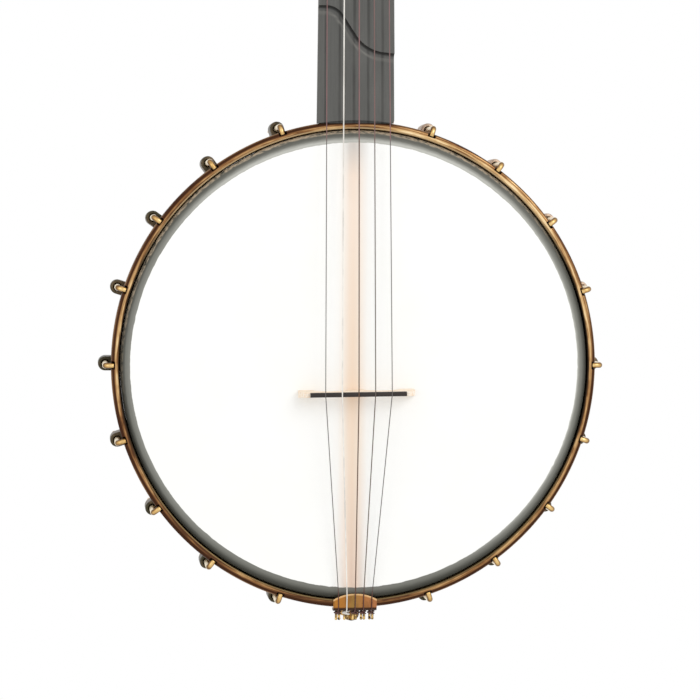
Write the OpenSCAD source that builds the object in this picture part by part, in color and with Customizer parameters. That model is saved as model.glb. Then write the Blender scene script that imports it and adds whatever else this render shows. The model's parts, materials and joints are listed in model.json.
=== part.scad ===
// Open-back five-string banjo with a 12 inch pot and a fretless, scooped fingerboard.
// Upright: +Z runs up the neck and the head faces -Y. The origin is the centre of the
// rim's back face, on the axis of the pot.

/* [Pot] */
// Outside diameter of the wooden rim
pot_d = 304.8; // [280:0.1:330]
// Wall of the rim
rim_wall = 6.35; // [5:0.05:9]
// Depth of the rim, from its back face to the tone ring
rim_depth = 63.5; // [60:0.5:72]
// Diameter of the rolled tone ring
ring_d = 6.35; // [5:0.05:8]
// Thickness of the head
head_t = 0.4; // [0.3:0.05:0.8]

/* [Tension hoop] */
// Gap between the head's collar and the hoop
hoop_gap = 0.7; // [0.4:0.1:2.4]
// Wall of the tension hoop
hoop_wall = 5.2; // [3.5:0.1:6]
// Height of the tension hoop
hoop_h = 14; // [11:0.5:16]
// How far the hoop's front lies below the head
hoop_drop = 0.6; // [0:0.1:1.5]
// Width of the flesh hoop across its wall
flesh_w = 4.2; // [3.6:0.1:5]
// Height of the flesh hoop
flesh_h = 4; // [3:0.5:5]
// Depth of each notch below the hoop's front
notch_h = 3.4; // [3:0.1:5]
// How far each notch goes into the hoop's wall
notch_in = 2.2; // [1.6:0.1:2.6]

/* [Hooks and shoes] */
// Positions round the pot; the neck and the tailpiece each take one
hook_places = 20; // [16:2:26]
// Wire diameter of the hooks
hook_d = 4; // [3.6:0.1:4.8]
// Gap between a hook's shank and the hoop
hook_gap = 1.6; // [1.2:0.1:3]
// Radius of a hook's bend
hook_bend = 3; // [2.6:0.1:4]
// How far a hook reaches into its notch
hook_reach = 1.8; // [1:0.1:2]
// Height of the shoes' middle above the rim's back face
shoe_z = 34; // [30:0.5:37]
// Length of a shoe along its hook
shoe_len = 18; // [12:0.5:20]
// Width of a shoe
shoe_w = 9.4; // [8.8:0.1:12]
// Bore of a shoe round its hook
shoe_bore = 5.4; // [5:0.1:6]
// Diameter of the screw that holds a shoe
shoe_screw_d = 4; // [3:0.1:5]
// Width of a hook nut across its flats
hook_nut_w = 7.2; // [6.6:0.1:9]
// Length of a hook nut
hook_nut_len = 12; // [8:0.5:14]
// Thread showing past each hook nut
hook_tail = 5; // [2:0.5:6]

/* [Dowel stick] */
// Width of the dowel stick
dowel_w = 20; // [16:0.5:24]
// Height of the dowel stick, along the pot's axis
dowel_h = 24; // [18:0.5:26]
// Height of the dowel stick's middle above the rim's back face
dowel_z = 29; // [26:0.5:32]
// Length of the tenon in the heel
tenon_len = 18; // [12:1:22]
// Diameter of the end bolt
end_bolt_d = 6; // [5:0.1:7]
// Diameter of the screw through the neck brace
brace_screw_d = 4; // [3:0.1:5]

/* [Neck] */
// Scale length, from the nut to the bridge
scale_len = 666.75; // [640:0.25:690]
// Backward tilt of the neck
neck_angle = 2.2; // [1.5:0.1:3]
// Height of the fingerboard over the head at the hoop
board_rise = 3.35; // [2.6:0.05:4]
// Thickness of the fingerboard
board_t = 6.35; // [5:0.05:7]
// Thickness of neck and fingerboard at the heel end of the shaft
shaft_t_heel = 26; // [22:0.5:30]
// Thickness of neck and fingerboard at the nut
shaft_t_nut = 22.5; // [20:0.5:25]
// Length of the sweep from the shaft to the heel
heel_sweep = 62; // [45:1:75]
// Length of the heel's flat foot, past the hoop
heel_foot = 17; // [12:0.5:24]
// Height of the heel's foot above the rim's back face
heel_z = 6; // [4:0.5:9]
// Half width of the heel's foot at the rim
heel_half = 13; // [9:0.5:16]
// Thickness of the heel cap
heel_cap_t = 3; // [1.5:0.5:4]

/* [Fingerboard] */
// Treble edge from the third string, at the hoop
treble_pot = 23.9; // [22.5:0.1:26]
// Treble edge from the third string, at the nut
treble_nut = 20.6; // [19.5:0.1:22]
// Bass edge from the third string, at the hoop
bass_pot = 26.5; // [25:0.1:28]
// Bass edge from the third string, at the fifth fret's place
bass_fifth = 22.4; // [22:0.1:24]
// Bass edge from the third string, at the nut
bass_nut = 12; // [11:0.1:13]
// Depth of the scoop
scoop_depth = 3; // [1.5:0.1:3.8]
// Scoop's length on the bass side
scoop_bass = 73.6; // [65:0.1:90]
// Radius of the scoop's outer bend, on the bass side
scoop_bend_bass = 12.5; // [8:0.1:14]
// Radius of the scoop's outer bend, on the treble side
scoop_bend_treble = 24; // [14:0.5:28]
// Steepest angle of the scoop's edge
scoop_angle = 57; // [40:1:60]
// Length of the straight stretch of the scoop's edge
scoop_straight = 15.8; // [10:0.1:24]

/* [Nut and strings] */
// Length of the nut along the strings
nut_t = 5; // [3:0.5:6]
// Height of the strings over the fingerboard at the nut
nut_action = 1.3; // [1:0.1:2]
// Spacing of the strings at the nut
nut_space = 8; // [7.8:0.1:9]
// Spacing of the strings at the bridge
bridge_space = 10.8; // [10:0.1:11.4]
// Spacing of the strings at the tailpiece
tail_space = 5.5; // [5:0.1:5.8]
// Fifth string from the third, at its own nut
fifth_x = 19.9; // [19.5:0.1:21]
// Thickness of the thinnest strings
string_thin = 0.6; // [0.45:0.05:0.8]
// Thickness of the fourth string
string_thick = 0.9; // [0.8:0.05:1.1]

/* [Bridge] */
// Distance of the bridge below the pot's axis
bridge_down = 18; // [0:1:40]
// Length of the bridge's base
bridge_len = 76; // [70:1:84]
// Height of the bridge with its cap
bridge_h = 15.9; // [14:0.1:17.5]
// Thickness of the bridge at its feet
bridge_foot_t = 5; // [4:0.1:6]
// Thickness of the bridge at its top
bridge_top_t = 2.7; // [2:0.1:3.5]
// Length of the bridge's cap
cap_len = 62.5; // [56:0.5:68]
// Height of the bridge's cap
cap_h = 3; // [2:0.1:3.5]
// Turn of the bridge on the head, treble side toward the neck
bridge_turn = 0.8; // [0:0.1:2]

/* [Tailpiece] */
// Width of the tailpiece
tail_w = 28.5; // [27:0.5:34]
// Metal thickness of the tailpiece
tail_t = 1.4; // [1:0.1:1.8]
// Reach of the tailpiece's plate over the hoop
tail_reach = 10.2; // [8:0.1:12]
// Length of the prongs
prong_len = 5.6; // [4:0.2:6.4]
// Width of one pair of prongs
prong_pair = 3.7; // [3:0.1:4.2]
// Height of the prongs above the rim's back face
prong_z = 66.5; // [60:0.5:68]
// Diameter of the tailpiece bolt
tail_bolt_d = 4; // [3:0.1:5]
// Distance of the tailpiece bolt from the hoop
tail_bolt_out = 6.6; // [6:0.1:8]

/* [Peghead] */
// Backward tilt of the peghead from the neck
peghead_angle = 13; // [8:0.5:16]
// Length of the peghead
peghead_len = 150; // [142:1:165]
// Thickness of the peghead without its overlay
peghead_t = 12; // [11:0.5:14]
// Thickness of the peghead overlay
overlay_t = 2; // [1:0.25:3]
// Half width of the peghead at its widest
peghead_half = 31; // [28:0.5:35]
// Half width of the peghead at its waist
waist_half = 26.5; // [25:0.5:28]

/* [Tuners] */
// Distance of the lower tuners from the nut
tuner_y1 = 46; // [40:1:50]
// Distance between the lower and the upper tuners
tuner_pitch = 52; // [46:1:56]
// Distance of a tuner from the peghead's centreline
tuner_x = 18.5; // [17:0.5:20]
// Diameter of a tuner's post
post_d = 6.2; // [5.6:0.1:6.8]
// Height of a post above the peghead
post_h = 16; // [12:0.5:18]
// Diameter of a tuner's sleeve through the peghead
sleeve_d = 9.5; // [9:0.1:10.5]
// Diameter of a tuner's housing
housing_d = 15.5; // [14:0.5:17]
// Length of a tuner's housing
housing_len = 17; // [13:0.5:20]
// Width of a tuner's button
button_w = 20; // [16:0.5:22]
// Thickness of a tuner's button
button_t = 9.5; // [8:0.5:12]
// Length of a tuner's button
button_len = 19; // [15:0.5:22]
// Distance of the fifth peg from the fifth string's nut
fifth_peg_y = 12; // [9:0.5:15]
// Diameter of the fifth peg's body
fifth_d = 13; // [12:0.5:14.5]

/* [Hidden] */
$fn = 48;

// Clearances
seat = 0.05;        // between pieces that are screwed or pressed together
run = 0.06;         // round a shaft that turns
part_gap = 0.3;     // between a fixed piece and one that turns past it
over = 1;           // how far a cut runs past a face
wide = 2 * treble_pot;  // half width of a cut that takes all of one side

// Pot
ring_fn = 180;
rim_r = pot_d / 2;
rim_in = rim_r - rim_wall;
ring_r = rim_r - ring_d / 2;
ring_z = rim_depth + ring_d / 2;
collar_in = rim_r + seat;
collar_r = collar_in + head_t;
head_z = ring_z + ring_d / 2 + seat;
head_top = head_z + head_t;
hoop_in = collar_r + hoop_gap;
hoop_r = hoop_in + hoop_wall;
hoop_top = head_top - hoop_drop;
hoop_base = hoop_top - hoop_h;
flesh_top = hoop_base - seat;
flesh_base = flesh_top - flesh_h;
hoop_edge = 0.9;    // bevel on the hoop's inner front edge
hoop_round = 1.7;   // bevel on its outer front edge

// Hooks, shoes and nuts
step_angle = 360 / hook_places;
HOOK_ANGLES = [for (i = [1:hook_places - 1]) if (i != hook_places / 2) i * step_angle];
hook_r = hoop_r + hook_gap + hook_d / 2;
tip_z = hoop_top - notch_h + hook_d / 2 + seat;
shoe_base = shoe_z - shoe_len / 2;
hook_nut_top = shoe_base - seat;
hook_nut_base = hook_nut_top - hook_nut_len;
hook_base = hook_nut_base - hook_tail;
screw_head_d = 8;
screw_head_h = 2.5;
screw_depth = 3.2;  // how far a screw goes into its shoe

// Dowel stick and its hardware
dowel_low = -rim_in + seat;
dowel_top = rim_r + tenon_len;
brace_t = 3;
brace_ear = 16;
brace_w = dowel_w + 2 * (brace_t + seat);
brace_base = 12;    // half height of the brace's plate beyond the dowel stick
bracket_t = 3;
bracket_w = 15;
bracket_top = dowel_z + 11;
bracket_base = 11;
ear_t = 6;
end_bolt_in = 27;   // how far the end bolt's hole goes into the dowel stick
bolt_y = -(hoop_r + tail_bolt_out);

// Neck
joint_y = hoop_r + 0.4;
board_z = head_top + board_rise;
bridge_y = -bridge_down;
nut_y = bridge_y + scale_len;
board_len = (nut_y - joint_y) / cos(neck_angle);
fifth_share = pow(2, -5 / 12);
fifth_y = (bridge_y + scale_len * fifth_share - joint_y) / cos(neck_angle);
peg_y = fifth_y + fifth_peg_y;
peg_z = -board_t - 4.5;
step_y = peg_y + fifth_d / 2;
step_len = 18;
bass_step = bass_nut + 0.8;
heel_deep = (board_z - heel_z) / cos(neck_angle) - board_t;
volute_len = 26;
side_points = 9;
min_half = 0.8;     // half width of the flat along the middle of the neck's back

// Peghead, in its own frame: y up the peghead, z out of its face
nut_mid = (treble_nut - bass_nut) / 2;
peghead_drop = 1.5; // face of the peghead below the fingerboard's face, at the nut
plate_back = peghead_t + overlay_t;
wide_y = 40;
waist_y = (tuner_y1 + tuner_y1 + tuner_pitch) / 2;
crown_y = peghead_len - 14;
// Tuners 1 to 4: side of the peghead (-1 is bass) and distance from the nut
TUNERS = [[1, tuner_y1], [1, tuner_y1 + tuner_pitch], [-1, tuner_y1 + tuner_pitch], [-1, tuner_y1]];

// Tuners, in a frame with z out of the peghead's face
collar_t = 4;
post_low = -plate_back + 2;
wind_z = 7;
wind_len = 3.4;
post_waist = post_d / 2 - 0.4;
shaft_d = 5;
ferrule_len = 4;
button_gap = 0.4;

// Fifth peg, in a frame with z out of the neck's side
peg_shank_d = 7.8;
peg_shank_len = 14;
window_low = 1.6;
window_len = 9;
peg_housing_len = 9;
fifth_post_d = 5;

// Strings: side spacing from the third string, in string widths
STRING_SIDE = [2, 1, 0, -1, -2];
STRING_D = [string_thin, (string_thin * 2 + string_thick) / 3, (string_thin + string_thick * 2) / 3,
    string_thick, string_thin];
plate_tilt = 6;
tail_bend = 1;                              // inner radius of the bend over the hoop
plate_out = hoop_r + 0.6;                   // where the tailpiece's plate turns down
skirt_drop = 5.7;                           // how far its skirt hangs below the hoop
plate_in = plate_out - tail_reach;
plate_base = hoop_top + seat;
skirt_base = hoop_base - skirt_drop;
bridge_top = head_top + seat + bridge_h;

function lerp(a, b, t) = a + (b - a) * t;
function clamp(t) = min(max(t, 0), 1);
function smooth(t) = let (u = clamp(t)) u * u * (3 - 2 * u);
function unit(v) = v / norm(v);

// Fingerboard's edges, from the third string, at y along the neck
function treble_x(y) = lerp(treble_pot, treble_nut, y / board_len);
function wide_x(y) = -lerp(bass_pot, bass_fifth, y / fifth_y);
function narrow_x(y) = -lerp(bass_step, bass_nut, (y - step_y) / (board_len - step_y));
function bass_x(y) = lerp(wide_x(min(y, step_y + step_len)), narrow_x(y), smooth((y - step_y) / step_len));

// The pot's frame: x right, y up the neck, z forward from the rim's back face
module front() { rotate([90, 0, 0]) children(); }

// The neck's frame: y up the neck on the fingerboard's face, z out of that face
module at_board() { front() translate([0, joint_y, board_z]) rotate([-neck_angle, 0, 0]) children(); }

// The peghead's frame: from the back of the nut, y up the peghead, z out of its face
module at_peghead() {
    at_board() translate([nut_mid, board_len + nut_t, -peghead_drop]) rotate([-peghead_angle, 0, 0])
        children();
}

module at_tuner(i) { at_peghead() translate([TUNERS[i][0] * tuner_x, TUNERS[i][1], 0]) children(); }

// The fifth peg's frame: z out of the neck's bass side
module at_fifth() { at_board() translate([bass_x(peg_y), peg_y, peg_z]) rotate([0, -90, 0]) children(); }

// Copies round the pot, each with its radius along +Y
module round_the_pot() { front() for (a = HOOK_ANGLES) rotate([0, 0, -a]) children(); }

// Solid through sections with the same number of points, each in mirrored pairs:
// down the bass side, then up the treble side
module loft(sections) {
    n = len(sections[0]);
    last = len(sections) - 1;
    sides = [for (i = [0:last - 1]) for (j = [0:n - 1]) let (k = (j + 1) % n, a = i * n, b = a + n)
        each [[a + j, a + k, b + k], [a + j, b + k, b + j]]];
    low = [for (j = [0:n / 2 - 2]) [j, n - 1 - j, n - 2 - j, j + 1]];
    high = [for (f = low) [for (j = [3:-1:0]) last * n + f[j]]];
    polyhedron([for (s = sections) each s], concat(sides, low, high));
}

// Round cord through points, with a ring at each; none of it runs along x
module cord(points, d, sides = 8) {
    last = len(points) - 1;
    loft([for (i = [0:last]) let (
        along = unit(points[min(i + 1, last)] - points[max(i - 1, 0)]),
        u = unit(cross(along, [1, 0, 0])),
        v = cross(along, u))
        [for (j = [0:sides - 1]) let (a = (j + 0.5) * 360 / sides)
            points[i] + d / 2 * (cos(a) * u + sin(a) * v)]]);
}

module rim() {
    color("#c58f55") difference() {
        front() rotate_extrude($fn = ring_fn) translate([rim_in, 0]) square([rim_wall, rim_depth]);
        front() translate([-dowel_w / 2 - seat, 0, dowel_z - dowel_h / 2 - seat])
            cube([dowel_w + 2 * seat, rim_r + over, dowel_h + 2 * seat]);
        front() translate([0, 0, dowel_z]) rotate([90, 0, 0])
            cylinder(d = end_bolt_d + 2 * seat, h = rim_r + over);
        round_the_pot() translate([0, rim_in - over, shoe_z]) rotate([-90, 0, 0])
            cylinder(d = shoe_screw_d + 2 * seat, h = rim_wall + 2 * over);
    }
}

module tone_ring() {
    color("#b08d4f") front() rotate_extrude($fn = ring_fn) translate([ring_r, ring_z + seat / 2])
        circle(d = ring_d);
}

module head() {
    bend_in = ring_d / 2 + seat;
    color("#fbfaf4") front() rotate_extrude($fn = ring_fn) {
        translate([0, head_z]) square([ring_r, head_t]);
        translate([ring_r, ring_z]) intersection() {
            difference() { circle(bend_in + head_t); circle(bend_in); }
            square(ring_d);
        }
        translate([collar_in, flesh_base]) square([head_t, ring_z - flesh_base]);
    }
}

module flesh_hoop() {
    color("#5a5a52") front() rotate_extrude($fn = ring_fn) translate([collar_r + seat, flesh_base])
        square([flesh_w, flesh_h]);
}

module tension_hoop() {
    color("#b08a4e") difference() {
        front() rotate_extrude($fn = ring_fn) translate([hoop_in, hoop_base]) polygon([
            [0, 0], [hoop_wall, 0], [hoop_wall, hoop_h - hoop_round], [hoop_wall - hoop_round * 0.3,
            hoop_h - hoop_round * 0.3], [hoop_wall - hoop_round, hoop_h], [hoop_edge, hoop_h],
            [0, hoop_h - hoop_edge]]);
        round_the_pot() translate([0, hoop_r - notch_in, tip_z]) {
            rotate([-90, 0, 0]) cylinder(d = hook_d + 0.8, h = notch_in + over);
            translate([-hook_d / 2 - 0.4, 0, 0]) cube([hook_d + 0.8, notch_in + over, notch_h]);
        }
    }
}

module hooks() {
    color("#cfae62") round_the_pot() {
        translate([0, hook_r, hook_base]) cylinder(d = hook_d, h = tip_z - hook_bend - hook_base);
        translate([0, hook_r - hook_bend, tip_z - hook_bend]) rotate([0, -90, 0])
            rotate_extrude(angle = 90) translate([hook_bend, 0]) circle(d = hook_d);
        translate([0, hoop_r - hook_reach, tip_z]) rotate([-90, 0, 0])
            cylinder(d = hook_d, h = hook_r - hook_bend - hoop_r + hook_reach);
    }
}

module hook_nuts() {
    flange_h = 1.6;
    color("#c9a860") round_the_pot() translate([0, hook_r, hook_nut_base]) difference() {
        union() {
            cylinder(d = hook_nut_w / cos(30), h = hook_nut_len - flange_h, $fn = 6);
            translate([0, 0, hook_nut_len - flange_h]) cylinder(d = hook_nut_w / cos(30) + 0.6, h = flange_h);
        }
        translate([0, 0, -over]) cylinder(d = hook_d + 2 * seat, h = hook_nut_len + 2 * over);
    }
}

module shoes() {
    color("#7a6c58") difference() {
        round_the_pot() difference() {
            union() {
                translate([0, hook_r, shoe_base]) cylinder(d = shoe_w, h = shoe_len);
                translate([-shoe_w / 2, rim_r - 2, shoe_base]) cube([shoe_w, hook_r - rim_r + 2, shoe_len]);
            }
            translate([0, hook_r, shoe_base - over]) cylinder(d = shoe_bore, h = shoe_len + 2 * over);
            translate([0, rim_r - 2, shoe_z]) rotate([-90, 0, 0])
                cylinder(d = shoe_screw_d + 2 * seat, h = 2 + screw_depth + 0.4);
        }
        front() cylinder(r = rim_r + seat, h = rim_depth, $fn = ring_fn);
    }
}

module shoe_screws() {
    color("#8d8268") round_the_pot() translate([0, rim_in - screw_head_h - seat, shoe_z])
        rotate([-90, 0, 0]) {
            cylinder(d = screw_head_d, h = screw_head_h - 0.4);
            cylinder(d = shoe_screw_d, h = screw_head_h + rim_wall + screw_depth);
        }
}

module dowel_stick() {
    color("#d6a871") front() difference() {
        translate([-dowel_w / 2, dowel_low + 1, dowel_z - dowel_h / 2])
            cube([dowel_w, dowel_top - dowel_low - 1, dowel_h]);
        translate([0, dowel_low, dowel_z]) rotate([-90, 0, 0])
            cylinder(d = end_bolt_d + 2 * seat, h = end_bolt_in + 3);
        translate([-dowel_w, rim_in - brace_ear / 2, dowel_z]) rotate([0, 90, 0])
            cylinder(d = brace_screw_d + 2 * seat, h = 2 * dowel_w);
    }
}

module neck_brace() {
    plate_h = dowel_h + 2 * brace_base;
    color("#b89455") front() difference() {
        intersection() {
            translate([-brace_w / 2, rim_in - brace_ear, dowel_z - plate_h / 2])
                cube([brace_w, brace_ear, plate_h]);
            cylinder(r = rim_in - seat, h = rim_depth, $fn = ring_fn);
        }
        translate([-brace_w, rim_in - brace_ear - over, dowel_z + dowel_h / 2 + seat])
            cube([2 * brace_w, brace_ear - brace_t, plate_h]);
        translate([-brace_w, rim_in - brace_ear - over, dowel_z - dowel_h / 2 - seat - plate_h])
            cube([2 * brace_w, brace_ear - brace_t, plate_h]);
        translate([-dowel_w / 2 - seat, 0, dowel_z - dowel_h / 2 - seat])
            cube([dowel_w + 2 * seat, rim_r, dowel_h + 2 * seat]);
        translate([-brace_w, rim_in - brace_ear / 2, dowel_z]) rotate([0, 90, 0])
            cylinder(d = brace_screw_d + 2 * seat, h = 2 * brace_w);
    }
}

module brace_screw() {
    head_h = 2.4;
    color("#cfae62") front() translate([-brace_w / 2 - head_h - seat, rim_in - brace_ear / 2, dowel_z])
        rotate([0, 90, 0]) {
            cylinder(d = 2 * brace_screw_d, h = head_h);
            cylinder(d = brace_screw_d, h = brace_w + 2 * head_h);
            translate([0, 0, brace_w + head_h + 2 * seat])
                cylinder(d = 2 * brace_screw_d, h = head_h, $fn = 6);
        }
}

module end_bolt() {
    bolt_head_h = 4;
    head_y = rim_r + bracket_t + 2 * seat;
    color("#cfae62") front() translate([0, -head_y - bolt_head_h, dowel_z]) rotate([-90, 0, 0]) {
        cylinder(d = 10, h = bolt_head_h, $fn = 6);
        cylinder(d = end_bolt_d, h = bolt_head_h + bracket_t + rim_wall + end_bolt_in - 3);
    }
}

module tail_bracket() {
    color("#b89455") front() difference() {
        union() {
            translate([-bracket_w / 2, -rim_r - seat - bracket_t, bracket_base])
                cube([bracket_w, bracket_t + 2, bracket_top - bracket_base]);
            translate([-bracket_w / 2, bolt_y, bracket_base]) cube([bracket_w, -bolt_y - rim_r - 1, ear_t]);
            translate([0, bolt_y, bracket_base]) cylinder(d = bracket_w, h = ear_t);
        }
        cylinder(r = rim_r + seat, h = rim_depth, $fn = ring_fn);
        translate([0, bolt_y, 0]) cylinder(d = tail_bolt_d + 2 * seat, h = rim_depth);
        translate([0, 0, dowel_z]) rotate([90, 0, 0])
            cylinder(d = end_bolt_d + 2 * seat, h = rim_r + 2 * bracket_t);
    }
}

// Plan of the tailpiece: an arched front edge over straight sides
module plate_outline() {
    rise = tail_reach * 0.38;
    arch = (tail_w * tail_w / 4 + rise * rise) / (2 * rise);
    back = tail_t + over;
    intersection() {
        translate([-tail_w / 2, -back]) square([tail_w, tail_reach + back]);
        union() {
            translate([0, tail_reach - arch]) circle(r = arch, $fn = 96);
            translate([-tail_w / 2, -back]) square([tail_w, tail_reach - rise + back]);
        }
    }
}

// Profile of the tailpiece's bent sheet, y towards the pot's axis and z forward: up the
// skirt, round the bend and along the tilted plate
module bent_sheet() {
    along = [cos(plate_tilt), sin(plate_tilt)];
    normal = [-along[1], along[0]];
    bend = [tail_bend, plate_base - tail_bend * normal[1]];
    reach = (tail_reach - bend[0]) / along[0];
    ARC = [for (i = [0:6]) lerp(180, 90 + plate_tilt, i / 6)];
    polygon(concat([[0, skirt_base], [-tail_t, skirt_base]],
        [for (a = ARC) bend + (tail_bend + tail_t) * [cos(a), sin(a)]],
        [bend + reach * along + (tail_bend + tail_t) * normal, bend + reach * along + tail_bend * normal],
        [for (i = [6:-1:0]) bend + tail_bend * [cos(ARC[i]), sin(ARC[i])]]));
}

module tailpiece() {
    tab_half = tail_bolt_d * 1.25;
    cut_h = prong_z - 3 - skirt_base + over;
    color("#b08650") front() {
        difference() {
            translate([0, -plate_out, 0]) intersection() {
                rotate([90, 0, 90]) translate([0, 0, -tail_w]) linear_extrude(2 * tail_w) bent_sheet();
                linear_extrude(head_top + 10) plate_outline();
            }
            for (side = [-1, 1])
                translate([side * (tab_half + tail_w / 2), -plate_out - tail_t, skirt_base - over])
                    translate([0, 0, cut_h / 2]) cube([tail_w, 2 * tail_t + 2 * over, cut_h], center = true);
        }
        // foot that the bolt pulls on
        difference() {
            union() {
                translate([-tab_half, bolt_y, skirt_base])
                    cube([2 * tab_half, -bolt_y - plate_out - tail_t / 2, tail_t]);
                translate([0, bolt_y, skirt_base]) cylinder(r = tab_half, h = tail_t);
            }
            translate([0, bolt_y, skirt_base - over])
                cylinder(d = tail_bolt_d + 2 * seat, h = tail_t + 2 * over);
        }
        // five pairs of prongs, rooted half way into the skirt
        for (i = STRING_SIDE) for (side = [-1, 1])
            translate([i * tail_space + side * prong_pair * 0.26, -plate_out - tail_t / 2, prong_z]) prong();
    }
}

// Round prong with a ball end, along -y
module prong() {
    rotate([90, 0, 0]) rotate_extrude($fn = 24) intersection() {
        union() {
            square([prong_pair * 0.22, prong_len + tail_t / 2]);
            translate([0, prong_len + tail_t / 2]) circle(d = prong_pair * 0.5);
        }
        square([prong_pair, prong_len * 2]);
    }
}

module tail_bolt() {
    low = bracket_base - 7;
    color("#cfae62") front() translate([0, bolt_y, 0]) {
        translate([0, 0, skirt_base + tail_t + seat]) cylinder(d = 2 * tail_bolt_d, h = 3);
        translate([0, 0, low]) cylinder(d = tail_bolt_d, h = skirt_base + tail_t + seat - low + 0.5);
    }
}

module tail_bolt_nut() {
    color("#c9a860") front() translate([0, bolt_y, bracket_base - seat - 4]) difference() {
        cylinder(d = 8.4, h = 4, $fn = 6);
        translate([0, 0, -over]) cylinder(d = tail_bolt_d + 2 * seat, h = 4 + 2 * over);
    }
}

// Bridge's frame: x along the bridge, y across it, z off the head
module at_bridge() {
    front() translate([0, bridge_y, head_top + seat]) rotate([0, 0, bridge_turn]) children();
}

// Wedge that thins the bridge from its feet to its top
module bridge_wedge() {
    rotate([90, 0, 90]) translate([0, 0, -bridge_len]) linear_extrude(2 * bridge_len) polygon([
        [-bridge_foot_t / 2, 0], [bridge_foot_t / 2, 0], [bridge_top_t / 2, bridge_h],
        [-bridge_top_t / 2, bridge_h]]);
}

module bridge() {
    base_h = bridge_h - cap_h;
    foot = 9;
    arch_w = (bridge_len - 3 * foot) / 2;
    color("#e2bd8d") at_bridge() intersection() {
        bridge_wedge();
        rotate([90, 0, 0]) translate([0, 0, -bridge_foot_t]) linear_extrude(2 * bridge_foot_t) difference() {
            polygon([[-bridge_len / 2, 0], [bridge_len / 2, 0], [bridge_len / 2, base_h * 0.45],
                [cap_len / 2 + 2, base_h], [-cap_len / 2 - 2, base_h], [-bridge_len / 2, base_h * 0.45]]);
            for (side = [-1, 1])
                translate([side * (arch_w + foot) / 2, -arch_w * 0.32]) circle(d = arch_w * 1.19);
        }
    }
}

module bridge_cap() {
    color("#2f2622") at_bridge() difference() {
        intersection() {
            bridge_wedge();
            translate([-cap_len / 2, -bridge_foot_t, bridge_h - cap_h])
                cube([cap_len, 2 * bridge_foot_t, cap_h]);
        }
        for (i = [0:4]) translate([STRING_SIDE[i] * bridge_space, 0, bridge_h]) rotate([90, 0, 0])
            cylinder(d = STRING_D[i] + 2 * seat, h = 2 * bridge_foot_t, center = true, $fn = 24);
    }
}

// Depth of the neck's wood under the fingerboard at y along the neck. sweep runs from 0,
// at the end of the heel's foot, to 90 degrees, where the shaft begins
function shaft_deep(y) = lerp(shaft_t_heel, shaft_t_nut, y / board_len) - board_t;
function sweep_y(sweep) = heel_foot + heel_sweep * (1 - cos(sweep));
function tilt_drop(y) = y * tan(neck_angle);

// One section of the neck: heel is 1 at the heel's foot and 0 on the shaft
function neck_section(y, deep, heel, half_share = 1) = let (
    mid = (treble_x(y) + bass_x(y)) / 2,
    half = (treble_x(y) - bass_x(y)) / 2 * half_share,
    foot_half = lerp(min_half, lerp(heel_half, heel_half * 0.7, clamp(y / heel_foot)), heel),
    down = [for (i = [0:side_points]) let (
        a = 90 * i / side_points,
        v = lerp(sin(a), i / side_points, heel),
        round_half = lerp(min_half, half, pow(cos(a), 0.85)),
        flared_half = lerp(foot_half, half, pow(1 - v, 1.25)))
        [lerp(round_half, flared_half, heel), -board_t - deep * v]])
    concat([for (p = down) [mid - p[0], y, p[1]]],
        [for (i = [side_points:-1:0]) [mid + down[i][0], y, down[i][1]]]);

NECK_SECTIONS = concat(
    [for (y = [-14, 0, heel_foot]) neck_section(y, heel_deep - tilt_drop(y), 1)],
    [for (sweep = [8:8:80]) let (y = sweep_y(sweep), heel = 1 - sin(sweep))
        neck_section(y, lerp(shaft_deep(y), heel_deep - tilt_drop(y), heel), heel)],
    [for (i = [0:5]) let (y = lerp(sweep_y(90), step_y, i / 5)) neck_section(y, shaft_deep(y), 0)],
    [for (i = [1:6]) let (y = step_y + step_len * i / 6) neck_section(y, shaft_deep(y), 0)],
    [for (i = [1:4]) let (y = lerp(step_y + step_len, board_len + nut_t, i / 4))
        neck_section(y, shaft_deep(y), 0)],
    [for (i = [1:6]) let (t = i / 6, y = board_len + nut_t + volute_len * t)
        neck_section(y, shaft_deep(y) - 4 * t * t, 0, sqrt(1 - 0.75 * t * t))]
);

module neck() {
    color("#b97f45") difference() {
        at_board() loft(NECK_SECTIONS);
        front() cylinder(r = rim_r + seat, h = 2 * rim_depth, center = true, $fn = ring_fn);
        front() translate([0, 0, flesh_base - 0.6]) cylinder(r = joint_y, h = rim_depth, $fn = ring_fn);
        front() translate([-dowel_w / 2 - seat, 0, dowel_z - dowel_h / 2 - seat])
            cube([dowel_w + 2 * seat, dowel_top + seat, dowel_h + 2 * seat]);
        intersection() {
            at_board() translate([-wide, board_len + nut_t, -wide]) cube(2 * wide);
            at_peghead() translate([-wide, -wide, -plate_back - seat]) cube([2 * wide, 4 * wide, 2 * wide]);
        }
        at_fifth() translate([0, 0, -peg_shank_len - 0.5])
            cylinder(d = peg_shank_d + 2 * seat, h = peg_shank_len + 8);
    }
}

module heel_cap() {
    color("#3a2c22") front() difference() {
        translate([0, 0, heel_z - heel_cap_t - seat]) linear_extrude(heel_cap_t) polygon([
            [-heel_half, rim_r - 8], [heel_half, rim_r - 8], [heel_half, joint_y],
            [heel_half * 0.7, joint_y + heel_foot], [-heel_half * 0.7, joint_y + heel_foot],
            [-heel_half, joint_y]]);
        translate([0, 0, -rim_depth]) cylinder(r = rim_r + seat, h = 2 * rim_depth, $fn = ring_fn);
    }
}

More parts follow.
